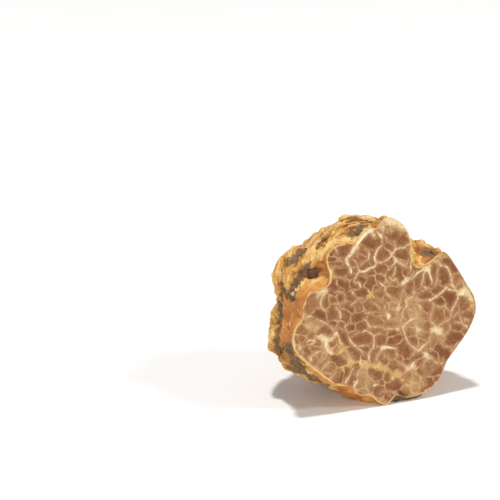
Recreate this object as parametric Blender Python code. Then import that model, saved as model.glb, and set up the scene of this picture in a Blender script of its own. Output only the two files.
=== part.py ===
"""A bianchetto truffle cut in half, lying on its skin with the cut face to the front.

Run with: blender --background --python part.py
Metres, +Z up. The origin is the middle of the base of the half's box, on the surface it lies on. The cut
face looks along -Y and leans back a little. The half grew as one piece, so it is one object.

The body starts as a cube that is rounded to a ball and drawn out to the half's own form. At the cut it
follows the outline of the cut face. Further back it follows a rounder outline, so that the notches in the
cut face run back as furrows and fade. Lobes, furrows, ridges and small bumps are raised from that form by
a formula, the underside is pressed flat where it lies, and a flat block takes the front away.

Places on the skin are given in degrees round the face, anticlockwise from +X as seen from the front, and
in millimetres behind the cut.
"""

import math

import bmesh
import bpy
import numpy as np
from mathutils import Vector, noise

MM = 0.001

# Driving sizes
DEPTH = 25.0 * MM  # from the cut to the back
LEAN = math.radians(6.0)  # how far the cut face leans back
FACE_MIDDLE = Vector((-0.1, -11.5, 18.9)) * MM
SECTION_POWER = 2.5  # 2 is an ellipse from the rim to the back, more is a fuller body
FURROW_FADE = 7.0 * MM  # how far back the outline of the cut face still shows
BACK_SHIFT = (-1.5 * MM, -0.6 * MM)  # the back's middle from the face's middle: across, up
RIM_GUARD = 1.4 * MM  # the relief grows from nothing over this distance behind the cut
SIDES = 39  # squares along each side of the cube; odd, so that the cut runs through their middles

# The cut face's outline: degrees round the face, millimetres from its middle
FACE_OUTLINE = (
    (2, 20.4), (9, 19.2), (17, 18.4), (27, 17.8), (35, 17.5), (38.5, 16.6), (40, 14.0), (44, 11.7),
    (50, 11.1), (57, 12.2), (62, 13.9), (67, 15.6), (73, 17.2), (80, 18.3), (87, 18.9), (91, 18.2),
    (94.5, 17.0), (99, 17.3), (106, 16.8), (112, 16.0), (119, 16.9), (126, 17.9), (134, 18.0), (139, 16.7),
    (143, 15.2), (151, 14.4), (156, 15.6), (160, 17.8), (169, 18.5), (176, 18.5), (181, 20.1), (187, 21.0),
    (194, 21.0), (204, 19.5), (216, 18.2), (228, 17.5), (239, 16.3), (248, 17.2), (255, 16.9), (263, 18.2),
    (269, 18.9), (273, 17.9), (277, 17.4), (284, 18.7), (294, 19.5), (305, 19.6), (313, 18.9), (319, 18.3),
    (330, 18.8), (341, 20.0), (350, 20.9), (356, 21.0),
)
# The rounder outline of the body behind it
BODY_OUTLINE = (
    (0, 20.6), (20, 19.4), (45, 17.6), (60, 17.2), (75, 17.9), (90, 18.6), (105, 18.9), (120, 18.2),
    (135, 18.6), (150, 19.6), (165, 19.0), (180, 18.7), (195, 19.9), (210, 20.3), (225, 18.9), (240, 18.6),
    (255, 18.8), (270, 19.2), (285, 19.2), (300, 19.2), (315, 19.2), (330, 19.4), (345, 20.2),
)

# Lobes: place (degrees, millimetres behind the cut), width and height in millimetres
LOBES = (
    ((149, 12.5), 4.5, 1.7), ((204, 12.0), 5.0, 1.5), ((172, 3.0), 3.0, 0.4), ((98, 9.0), 5.0, 0.6),
    ((75, 14.0), 5.0, 0.9), ((25, 7.0), 5.0, 0.7), ((345, 9.0), 6.0, 1.1), ((5, 17.0), 5.0, 1.0),
    ((310, 8.0), 5.0, 0.7), ((325, 18.0), 5.0, 1.0), ((120, 19.0), 5.0, 1.0), ((180, 17.0), 5.0, 0.4),
    ((218, 11.0), 5.0, 0.9), ((230, 19.0), 5.0, 0.9), ((60, 21.0), 4.5, 1.1), ((272, 15.5), 7.5, 1.8),
    ((134, 10.0), 2.6, 0.9),
)
FURROWS = (
    (1.5, 1.6, ((147, 0), (145, 3), (151, 4.4), (158, 4.8), (167, 4.9), (175, 6.6), (184, 7.6), (197, 9.6),
                (208, 12.5), (222, 14.0), (243, 13.0))),
    (1.0, 0.9, ((146, 2.8), (138, 3.4), (132, 3.5), (126, 3.5), (114, 3.8), (104, 3.6), (97, 2.6))),
    (2.4, 2.3, ((126, 6.0), (121, 8.5), (119, 11.5), (135, 15.5), (152, 17.5), (162, 20.0), (150, 23.0))),
    (1.8, 1.2, ((50, 0), (51, 4), (56, 9), (48, 13), (36, 16.0), (35, 20.0), (60, 24.5))),
    (1.6, 1.2, ((95, 15.0), (85, 18.5), (92, 22.0), (150, 23.0))),
    (1.7, 1.2, ((56, 9), (75, 8.0), (84, 5.5))),
    (1.6, 1.1, ((20, 12.5), (6, 11.5), (352, 14.0), (345, 18.0), (352, 22.5), (60, 24.5))),
    (1.5, 0.9, ((318, 0), (324, 4.5), (330, 9.5), (322, 13.0), (305, 14.5), (296, 18.0), (300, 22.5), (352, 22.5))),
    (1.5, 1.1, ((222, 14.0), (214, 18.0), (205, 21.5), (150, 23.0))),
    (1.3, 0.8, ((240, 0), (237, 4), (232, 7), (243, 13.0), (262, 16.5), (296, 18.0))),
    (1.2, 0.8, ((184, 7.6), (176, 11.0), (168, 13.5), (163, 17.5))),
)
# Ridges, given in the same way
RIDGES = (
    (0.9, 0.8, ((140, 4.6), (134, 4.9), (129, 4.9), (123, 5.1), (116, 5.6), (103, 7.2))),
    (1.1, 0.6, ((166, 11.0), (158, 11.6), (149, 11.6), (138, 11.0))),
    (0.8, 0.5, ((189, 11.5), (197, 12.5), (204, 14.5))),
    (0.9, 0.5, ((147, 8.6), (141, 8.2), (136, 8.0))),
    (1.0, 0.6, ((158, 7.4), (153, 8.2))),
)
LUMP_SIZE = 4.6 * MM  # the fine unevenness over the whole skin
LUMP_HEIGHT = 0.55 * MM
LUMP_SEED = Vector((7.3, 2.1, 5.6))


def closed_curve(outline, count=1440):
    """count points evenly spaced along the smooth closed curve through an outline's points."""
    angles = np.radians([angle for angle, _ in outline])
    radii = np.array([radius for _, radius in outline]) * MM
    corners = np.stack([radii * np.cos(angles), radii * np.sin(angles)], axis=1)
    t = np.linspace(0, 1, 24, endpoint=False)[:, None]
    pieces = []
    for i in range(len(corners)):
        before, start, end, after = (corners[(i + k) % len(corners)] for k in (-1, 0, 1, 2))
        leave, arrive = (end - before) / 2, (after - start) / 2
        piece = (2 * t**3 - 3 * t**2 + 1) * start + (t**3 - 2 * t**2 + t) * leave
        pieces.append(piece + (3 * t**2 - 2 * t**3) * end + (t**3 - t**2) * arrive)
    curve = np.concatenate([*pieces, pieces[0][:1]])
    run = np.concatenate([[0], np.cumsum(np.hypot(*np.diff(curve, axis=0).T))])
    places = np.linspace(0, run[-1], count, endpoint=False)
    return np.stack([np.interp(places, run, curve[:, axis]) for axis in (0, 1)], axis=1)


def smooth_step(value):
    """0 below 0, 1 above 1, and an even curve between."""
    share = np.clip(value, 0, 1)
    return share * share * (3 - 2 * share)


class Body:
    """The form without its relief, as a function of the share of the way round and from the rim to the back."""

    def __init__(self):
        self.rim = closed_curve(FACE_OUTLINE)
        self.turns = np.arange(len(self.rim)) / len(self.rim)
        angles = np.unwrap(np.arctan2(self.rim[:, 1], self.rim[:, 0]))
        spread = len(self.rim) // 24
        even = np.linspace(angles[0], angles[0] + 2 * math.pi, len(angles), endpoint=False)
        away = np.concatenate([(angles - even)[-spread:], angles - even, (angles - even)[:spread]])
        window = np.hanning(2 * spread + 1)
        self.angles = even + np.convolve(away, window / window.sum(), mode="valid")
        around = closed_curve(BODY_OUTLINE)
        around_angles = np.arctan2(around[:, 1], around[:, 0])
        radii = np.interp(self.angles, around_angles, np.hypot(*around.T), period=2 * math.pi)
        self.body = np.stack([radii * np.cos(self.angles), radii * np.sin(self.angles)], axis=1)
        turn = np.linspace(0, math.pi / 2, 2000)
        across, back = np.cos(turn) ** (2 / SECTION_POWER), np.sin(turn) ** (2 / SECTION_POWER)
        run = np.concatenate([[0], np.cumsum(np.hypot(np.diff(across) * 0.8, np.diff(back)))])
        self.shares, self.across, self.back = run / run[-1], across, back

    def at(self, turns, shares):
        """Points across, up and back from the face's middle; a negative share is in front of the cut."""
        size = np.abs(shares)
        across = np.interp(size, self.shares, self.across)
        back = np.interp(size, self.shares, self.back) * np.sign(shares)
        faded = smooth_step(np.abs(back) * DEPTH / FURROW_FADE)
        columns = []
        for axis in (0, 1):
            rim = np.interp(turns, self.turns, self.rim[:, axis], period=1)
            body = np.interp(turns, self.turns, self.body[:, axis], period=1)
            columns.append((rim * (1 - faded) + body * faded) * across + BACK_SHIFT[axis] * back**2)
        return np.column_stack([*columns, back * DEPTH])

    def places(self, route):
        """Points for places given in degrees round the face and millimetres behind the cut."""
        angles = np.radians([angle for angle, _ in route])
        back = np.array([depth for _, depth in route]) * MM / DEPTH
        start = self.angles[0]
        turns = np.interp((angles - start) % (2 * math.pi), self.angles - start, self.turns)
        return self.at(turns, np.interp(back, self.back, self.shares))


def way_from(points, path):
    """The distance of each point from a path of straight runs."""
    nearest = np.full(len(points), np.inf)
    for start, end in zip(path[:-1], path[1:]):
        run = end - start
        share = np.clip((points - start) @ run / (run @ run), 0, 1)
        gap = np.linalg.norm(points - start - share[:, None] * run, axis=1)
        nearest = np.minimum(nearest, gap)
    return nearest


def relief(body, points):
    """How far the skin stands out from the form at each point."""
    height = np.zeros(len(points))
    for place, width, rise in LOBES:
        gap = np.linalg.norm(points - body.places([place]), axis=1)
        height += rise * MM * np.exp(-((gap / (width * MM)) ** 2))
    for width, drop, route in FURROWS:
        gap = way_from(points, body.places(route)) / (width * MM)
        height -= drop * MM * np.exp(-(np.sqrt(gap**2 + 0.09) - 0.3))
    for width, rise, route in RIDGES:
        gap = way_from(points, body.places(route)) / (width * MM)
        height += rise * MM * np.exp(-(gap**2))
    lumps = [noise.fractal(Vector(p) / LUMP_SIZE + LUMP_SEED, 0.9, 2.1, 3) for p in points]
    height += LUMP_HEIGHT * np.array(lumps)
    return height * smooth_step(np.abs(points[:, 2]) / RIM_GUARD)


def in_place(points):
    """Points across, up and back from the face's middle, in the half's own frame."""
    across = np.array([1, 0, 0])
    up = np.array([0, math.sin(LEAN), math.cos(LEAN)])
    back = np.array([0, math.cos(LEAN), -math.sin(LEAN)])
    return np.array(FACE_MIDDLE) + points @ np.array([across, up, back])


def grown_body():
    """The whole drawn-out ball with its relief, as an object in the half's own frame."""
    ball = bmesh.new()
    bmesh.ops.create_cube(ball, size=2)
    bmesh.ops.subdivide_edges(ball, edges=ball.edges[:], cuts=SIDES - 1, use_grid_fill=True)
    directions = np.array([[math.tan(c * math.pi / 4) for c in vert.co] for vert in ball.verts])
    directions /= np.linalg.norm(directions, axis=1)[:, None]
    body = Body()
    turns = np.arctan2(directions[:, 1], directions[:, 0]) / (2 * math.pi) % 1
    points = body.at(turns, np.arcsin(directions[:, 2]) / (math.pi / 2))
    for vert, point in zip(ball.verts, points):
        vert.co = point
    bmesh.ops.recalc_face_normals(ball, faces=ball.faces[:])
    ball.normal_update()
    normals = np.array([vert.normal for vert in ball.verts])
    points = in_place(points + normals * relief(body, points)[:, None])
    points[:, 2] = np.maximum(points[:, 2], 0)
    for vert, point in zip(ball.verts, points):
        vert.co = point
    mesh = bpy.data.meshes.new("truffle_half")
    ball.to_mesh(mesh)
    ball.free()
    mesh.shade_smooth()
    return bpy.data.objects.new("truffle_half", mesh)


def knife():
    """The block that takes the front away, down to the cut."""
    side = 80 * MM
    block = bmesh.new()
    bmesh.ops.create_cube(block, size=side)
    mesh = bpy.data.meshes.new("knife")
    block.to_mesh(mesh)
    block.free()
    cutter = bpy.data.objects.new("knife", mesh)
    back = Vector((0, math.cos(LEAN), -math.sin(LEAN)))
    cutter.location = FACE_MIDDLE - back * side / 2
    cutter.rotation_euler.x = -LEAN
    cutter.hide_render = True
    cutter.display_type = "WIRE"
    return cutter


def finish(name, colour, roughness):
    """A plain finish: its name, colour and roughness."""
    material = bpy.data.materials.new(name)
    material.use_nodes = True
    shader = material.node_tree.nodes["Principled BSDF"]
    shader.inputs["Base Color"].default_value = (*colour, 1)
    shader.inputs["Roughness"].default_value = roughness
    shader.inputs["Metallic"].default_value = 0
    return material


def main():
    for old in list(bpy.data.objects):
        bpy.data.objects.remove(old)
    parts = bpy.data.collections.new("bianchetto_truffle")
    cutters = bpy.data.collections.new("cutters")
    for collection in (parts, cutters):
        bpy.context.scene.collection.children.link(collection)
    half = grown_body()
    parts.objects.link(half)
    half.data.materials.append(finish("skin", (0.60, 0.36, 0.14), 0.75))
    cutter = knife()
    cutters.objects.link(cutter)
    cutter.data.materials.append(finish("flesh", (0.42, 0.22, 0.13), 0.6))
    cut = half.modifiers.new("cut", "BOOLEAN")
    cut.operation = "DIFFERENCE"
    cut.solver = "EXACT"
    cut.object = cutter
    cut.material_mode = "TRANSFER"


main()
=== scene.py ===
"""Half a bianchetto truffle, lying on its skin with its marbled cut face to the front.

The half is one closed mesh. It is drawn out from a ball, as the frame's solid is, with about twenty times
the detail: the back of the ball becomes the skin, with its lobes, furrows, strands, warts and earth, and the
front is pressed flat to the cut face, which carries the marbling.

Places on the form are degrees round the face, anticlockwise from +X as seen from the front, and millimetres
behind the cut. Veins and patches of colour are laid by picture places, in the pixels of a 500 by 500 picture
taken from the scene's own camera.
"""

import logging
import math
from dataclasses import dataclass, field
from enum import Enum
from typing import Any, Iterable, Sequence, Union

import bmesh
import bpy
import numpy as np
from mathutils import Matrix, Vector, noise


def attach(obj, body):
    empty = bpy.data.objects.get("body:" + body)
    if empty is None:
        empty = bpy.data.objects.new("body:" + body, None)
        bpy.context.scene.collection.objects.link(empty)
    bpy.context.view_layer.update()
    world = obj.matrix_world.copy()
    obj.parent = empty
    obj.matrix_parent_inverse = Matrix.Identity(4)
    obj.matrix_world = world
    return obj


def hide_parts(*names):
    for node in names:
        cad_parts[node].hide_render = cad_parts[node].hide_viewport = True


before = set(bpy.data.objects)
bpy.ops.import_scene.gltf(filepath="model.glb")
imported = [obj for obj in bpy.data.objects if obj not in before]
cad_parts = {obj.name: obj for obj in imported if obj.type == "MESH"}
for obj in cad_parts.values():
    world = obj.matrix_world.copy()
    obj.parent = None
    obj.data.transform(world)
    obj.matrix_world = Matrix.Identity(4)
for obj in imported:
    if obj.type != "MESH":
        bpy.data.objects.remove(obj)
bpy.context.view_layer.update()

LOG = logging.getLogger("truffle_half")
MM = 0.001
BODY = "root"
NODE = "truffle_half"

# A run whose length squared is below this counts as a single point.
SHORTEST = 1e-18

Place = tuple[float, float]
Point = tuple[float, float, float]
Route = tuple[Place, ...]
Colour = tuple[int, int, int]


class Slot(Enum):
    """The record's material slots."""

    SKIN = "skin"
    FLESH = "flesh"


def smooth_step(value: np.ndarray) -> np.ndarray:
    """0 below 0, 1 above 1, and an even curve between."""
    share = np.clip(value, 0, 1)
    return share * share * (3 - 2 * share)


def smooth_curve(corners: np.ndarray, closed: bool, steps: int) -> np.ndarray:
    """A smooth curve through corners.

    Args:
        corners: the points it goes through, one in each row.
        closed: whether it comes back to its first point.
        steps: how many pieces each stretch between two corners has.

    Returns:
        Its points, one in each row, with the first one again at the end if it is closed.
    """
    last = len(corners) - 1
    if last == 0:
        return corners
    t = np.linspace(0, 1, steps, endpoint=False)[:, None]
    pieces = []
    for i in range(last + closed):
        around = np.arange(i - 1, i + 3)
        before, start, end, after = corners[around % (last + 1) if closed else np.clip(around, 0, last)]
        leave, arrive = (end - before) / 2, (after - start) / 2
        piece = (2 * t**3 - 3 * t**2 + 1) * start + (t**3 - 2 * t**2 + t) * leave
        pieces.append(piece + (3 * t**2 - 2 * t**3) * end + (t**3 - t**2) * arrive)
    return np.concatenate([*pieces, corners[:1] if closed else corners[-1:]])


def gap_to_path(points: np.ndarray, path: np.ndarray) -> tuple[np.ndarray, np.ndarray]:
    """How far points are from a path of straight runs, which may be a single point.

    Args:
        points: one in each row, in two or three dimensions.
        path: the path's points, in the same dimensions.

    Returns:
        The gap of each point, and how far along the path its nearest place is.
    """
    nearest = np.linalg.norm(points - path[0], axis=1)
    along = np.zeros(len(points))
    so_far = 0.0
    for start, end in zip(path[:-1], path[1:]):
        run = end - start
        length = float(np.linalg.norm(run))
        share = np.clip((points - start) @ run / max(length**2, SHORTEST), 0, 1)
        gap = np.linalg.norm(points - start - share[:, None] * run, axis=1)
        nearer = gap < nearest
        nearest[nearer] = gap[nearer]
        along[nearer] = so_far + share[nearer] * length
        so_far += length
    return nearest, along


@dataclass(frozen=True)
class Unevenness:
    """Smooth unevenness between about -1 and 1, the same on every run.

    Its size is that of its larger bumps, for all axes or for each, in the unit of the points. Its seed says
    which part of the endless field is read, and its octaves how many finer layers it has.
    """

    size: Union[float, Point]
    seed: Union[float, Point]
    octaves: int = 2
    roughness: float = 0.9
    fineness: float = 2.1

    def at(self, points: np.ndarray) -> np.ndarray:
        """Reads the unevenness.

        Args:
            points: three-dimensional, one in each row.

        Returns:
            One value for each point.
        """
        places = points / np.asarray(self.size) + np.asarray(self.seed)
        layers = (self.roughness, self.fineness, self.octaves)
        return np.array([noise.fractal(place, *layers) for place in places])


@dataclass(frozen=True)
class Stroke:
    """A vein, furrow or patch: its width, its strength and the places that it runs through."""

    width: float
    strength: float
    route: Route

    @classmethod
    def rows(cls, *rows: Sequence[float]) -> "tuple[Stroke, ...]":
        """Strokes from rows of a width, a strength and then two numbers for each place."""
        return tuple(cls(row[0], row[1], tuple(zip(row[2::2], row[3::2]))) for row in rows)

    def path(self, steps: int = 0) -> np.ndarray:
        """The route's places, one in each row, on a smooth curve if it has steps between them."""
        places = np.array(self.route, dtype=float)
        return smooth_curve(places, False, steps) if steps else places


def soft_cover(strokes: Iterable[Stroke], seen_at: np.ndarray, scale: float, steps: int = 0) -> np.ndarray:
    """How fully strokes with soft edges cover points.

    Args:
        strokes: the strokes, by picture place.
        seen_at: the points' picture places.
        scale: how many pixels a width of 1 is, from a stroke's middle to where a third of it is left.
        steps: how many pieces each stretch of a stroke's curve has, or 0 for straight runs.

    Returns:
        From 0 to 1 for each point.
    """
    covered = np.zeros(len(seen_at))
    for stroke in strokes:
        gap = gap_to_path(seen_at, stroke.path(steps))[0] / (stroke.width * scale)
        covered = np.maximum(covered, stroke.strength * np.exp(-(gap**2)))
    return covered


@dataclass(frozen=True)
class PhotoCamera:
    """A camera at the photograph's viewing angle, and what its geometry says of picture places."""

    azimuth: float = math.radians(26.3)
    elevation: float = math.radians(16.0)
    focal_pixels: float = 2000.0
    picture_pixels: float = 500.0
    pixel_centre: float = 0.5
    sensor: float = 36.0
    distance: float = 400 * MM
    foot: Point = (-0.28 * MM, -13.48 * MM, 0.05 * MM)
    foot_seen_at: Place = (388.0, 405.0)
    near_limit: float = 10 * MM

    def axes(self) -> tuple[Vector, Vector, Vector]:
        """Works out how the camera is turned.

        Returns:
            Its right, up and back directions.
        """
        a, e = self.azimuth, self.elevation
        back = Vector((-math.sin(a) * math.cos(e), -math.cos(a) * math.cos(e), math.sin(e)))
        right = Vector((math.cos(a), -math.sin(a), 0))
        return right, back.cross(right), back

    def ray(self, place: Place) -> Vector:
        """Turns a picture place into a direction.

        Args:
            place: the picture place.

        Returns:
            The direction from the camera in which it is seen.
        """
        right, up, back = self.axes()
        middle = self.picture_pixels / 2
        across = (place[0] - middle) / self.focal_pixels
        rise = (middle - place[1]) / self.focal_pixels
        return (right * across + up * rise - back).normalized()

    def stand(self) -> Vector:
        """Where the camera stands, so that the half's foot is seen at its picture place."""
        return Vector(self.foot) - self.ray(self.foot_seen_at) * self.distance

    def picture_of(self, points: np.ndarray) -> np.ndarray:
        """Finds where points are seen.

        Args:
            points: points of the frame, one in each row.

        Returns:
            Their picture places, in pixel centres, one in each row.
        """
        right, up, back = (np.array(axis) for axis in self.axes())
        away = points - np.array(self.stand())
        depth = -(away @ back)
        middle = self.picture_pixels / 2 - self.pixel_centre
        across = middle + self.focal_pixels * (away @ right) / depth
        return np.stack([across, middle - self.focal_pixels * (away @ up) / depth], axis=1)

    def build(self) -> bpy.types.Object:
        """Makes the camera and gives it to the scene.

        Returns:
            The camera object.
        """
        data = bpy.data.cameras.new("camera")
        data.sensor_width = self.sensor
        data.lens = self.sensor * self.focal_pixels / self.picture_pixels
        data.clip_start = self.near_limit
        camera = bpy.data.objects.new("camera", data)
        matrix = Matrix(self.axes()).transposed().to_4x4()
        matrix.translation = self.stand()
        camera.matrix_world = matrix
        bpy.context.scene.collection.objects.link(camera)
        bpy.context.scene.camera = camera
        return camera


@dataclass(frozen=True)
class HalfForm:
    """The half without its relief: the outline of the cut, growing into a rounder one behind it."""

    depth: float = 25.0 * MM
    lean: float = math.radians(6.0)
    middle: Point = (-0.1 * MM, -11.5 * MM, 18.9 * MM)
    section_power: float = 2.5
    section_steps: int = 2000
    across_share: float = 0.8
    furrow_fade: float = 7.0 * MM
    back_shift: tuple[float, float] = (-1.5 * MM, -0.6 * MM)
    curve_steps: int = 24
    rim_points: int = 1440
    rim_smoothing: int = 60
    face_outline: Route = (
        (2, 20.4), (9, 19.2), (17, 18.4), (27, 17.8), (35, 17.5), (38.5, 16.6), (40, 14.0), (44, 11.7),
        (50, 11.1), (57, 12.2), (62, 13.9), (67, 15.6), (73, 17.2), (80, 18.3), (87, 18.9), (91, 18.2),
        (94.5, 17.0), (99, 17.3), (106, 16.8), (112, 16.0), (119, 16.9), (126, 17.9), (134, 18.0),
        (139, 16.7), (143, 15.2), (151, 14.4), (156, 15.6), (160, 17.8), (169, 18.5), (176, 18.5),
        (181, 20.1), (187, 21.0), (194, 21.0), (204, 19.5), (216, 18.2), (228, 17.5), (239, 16.3),
        (248, 17.2), (255, 16.9), (263, 18.2), (269, 18.9), (273, 17.9), (277, 17.4), (284, 18.7),
        (294, 19.5), (305, 19.6), (313, 18.9), (319, 18.3), (330, 18.8), (341, 20.0), (350, 20.9),
        (356, 21.0),
    )
    body_outline: Route = (
        (0, 20.6), (20, 19.4), (45, 17.6), (60, 17.2), (75, 17.9), (90, 18.6), (105, 18.9), (120, 18.2),
        (135, 18.6), (150, 19.6), (165, 19.0), (180, 18.7), (195, 19.9), (210, 20.3), (225, 18.9),
        (240, 18.6), (255, 18.8), (270, 19.2), (285, 19.2), (300, 19.2), (315, 19.2), (330, 19.4),
        (345, 20.2),
    )
    rim: np.ndarray = field(init=False, repr=False)
    body: np.ndarray = field(init=False, repr=False)
    turns: np.ndarray = field(init=False, repr=False)
    angles: np.ndarray = field(init=False, repr=False)
    section: tuple[np.ndarray, np.ndarray, np.ndarray] = field(init=False, repr=False)

    def __post_init__(self) -> None:
        """Works out the curves that the form is read from."""
        rim = self.even_outline(self.face_outline)
        angles = self.even_angles(rim)
        around = self.even_outline(self.body_outline)
        around_angles = np.arctan2(around[:, 1], around[:, 0])
        radii = np.interp(angles, around_angles, np.hypot(*around.T), period=2 * math.pi)
        turn = np.linspace(0, math.pi / 2, self.section_steps)
        across, back = (part(turn) ** (2 / self.section_power) for part in (np.cos, np.sin))
        run = np.concatenate([[0], np.cumsum(np.hypot(np.diff(across) * self.across_share, np.diff(back)))])
        curves = {
            "rim": rim,
            "turns": np.arange(self.rim_points) / self.rim_points,
            "angles": angles,
            "body": np.stack([radii * np.cos(angles), radii * np.sin(angles)], axis=1),
            "section": (run / run[-1], across, back),
        }
        for name, curve in curves.items():
            object.__setattr__(self, name, curve)

    def even_outline(self, outline: Route) -> np.ndarray:
        """Draws a smooth closed curve through an outline's places.

        Args:
            outline: the places, in degrees and millimetres from the middle.

        Returns:
            Evenly spaced points on it, in metres, one in each row.
        """
        angles = np.radians([angle for angle, _ in outline])
        radii = np.array([radius for _, radius in outline]) * MM
        corners = np.stack([radii * np.cos(angles), radii * np.sin(angles)], axis=1)
        curve = smooth_curve(corners, True, self.curve_steps)
        run = np.concatenate([[0], np.cumsum(np.hypot(*np.diff(curve, axis=0).T))])
        places = np.linspace(0, run[-1], self.rim_points, endpoint=False)
        return np.stack([np.interp(places, run, curve[:, axis]) for axis in (0, 1)], axis=1)

    def even_angles(self, rim: np.ndarray) -> np.ndarray:
        """Smooths the rim points' angles, so that the body behind takes no notches from them.

        Args:
            rim: the rim's points, one in each row.

        Returns:
            An angle for each of them.
        """
        angles = np.unwrap(np.arctan2(rim[:, 1], rim[:, 0]))
        spread = self.rim_smoothing
        even = np.linspace(angles[0], angles[0] + 2 * math.pi, self.rim_points, endpoint=False)
        away = angles - even
        window = np.hanning(2 * spread + 1)
        padded = np.concatenate([away[-spread:], away, away[:spread]])
        return even + np.convolve(padded, window / window.sum(), mode="valid")

    def face_at(self, turns: np.ndarray, shares: np.ndarray) -> np.ndarray:
        """Points of the cut face, for shares of the way round and from the rim to the middle."""
        rim = [np.interp(turns, self.turns, self.rim[:, axis], period=1) for axis in (0, 1)]
        return np.column_stack([rim[0] * (1 - shares), rim[1] * (1 - shares), np.zeros(len(turns))])

    def skin_at(self, turns: np.ndarray, shares: np.ndarray) -> np.ndarray:
        """Points of the skin's form.

        Args:
            turns: shares of the way round the rim.
            shares: shares of the way from the rim to the back.

        Returns:
            Points across, up and back from the middle of the cut face.
        """
        steps, across_table, back_table = self.section
        across = np.interp(shares, steps, across_table)
        back = np.interp(shares, steps, back_table)
        faded = smooth_step(back * self.depth / self.furrow_fade)
        columns = []
        for axis in (0, 1):
            rim = np.interp(turns, self.turns, self.rim[:, axis], period=1)
            body = np.interp(turns, self.turns, self.body[:, axis], period=1)
            columns.append((rim * (1 - faded) + body * faded) * across + self.back_shift[axis] * back**2)
        return np.column_stack([*columns, back * self.depth])

    def skin_places(self, route: Sequence[Place]) -> np.ndarray:
        """Finds places on the skin's form.

        Args:
            route: the places, in degrees round the face and millimetres behind the cut.

        Returns:
            Their points across, up and back from the middle of the cut face.
        """
        angles = np.radians([angle for angle, _ in route])
        back = np.array([depth for _, depth in route]) * MM / self.depth
        start = self.angles[0]
        turns = np.interp((angles - start) % (2 * math.pi), self.angles - start, self.turns)
        steps, _, back_table = self.section
        return self.skin_at(turns, np.interp(back, back_table, steps))

    def axes(self) -> np.ndarray:
        """Works out how the cut face leans.

        Returns:
            Its across, up and back directions, one in each row.
        """
        up = (0, math.sin(self.lean), math.cos(self.lean))
        back = (0, math.cos(self.lean), -math.sin(self.lean))
        return np.array([(1, 0, 0), up, back])

    def in_place(self, points: np.ndarray) -> np.ndarray:
        """Points given across, up and back from the middle of the cut face, in the frame."""
        return np.array(self.middle) + points @ self.axes()


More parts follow.
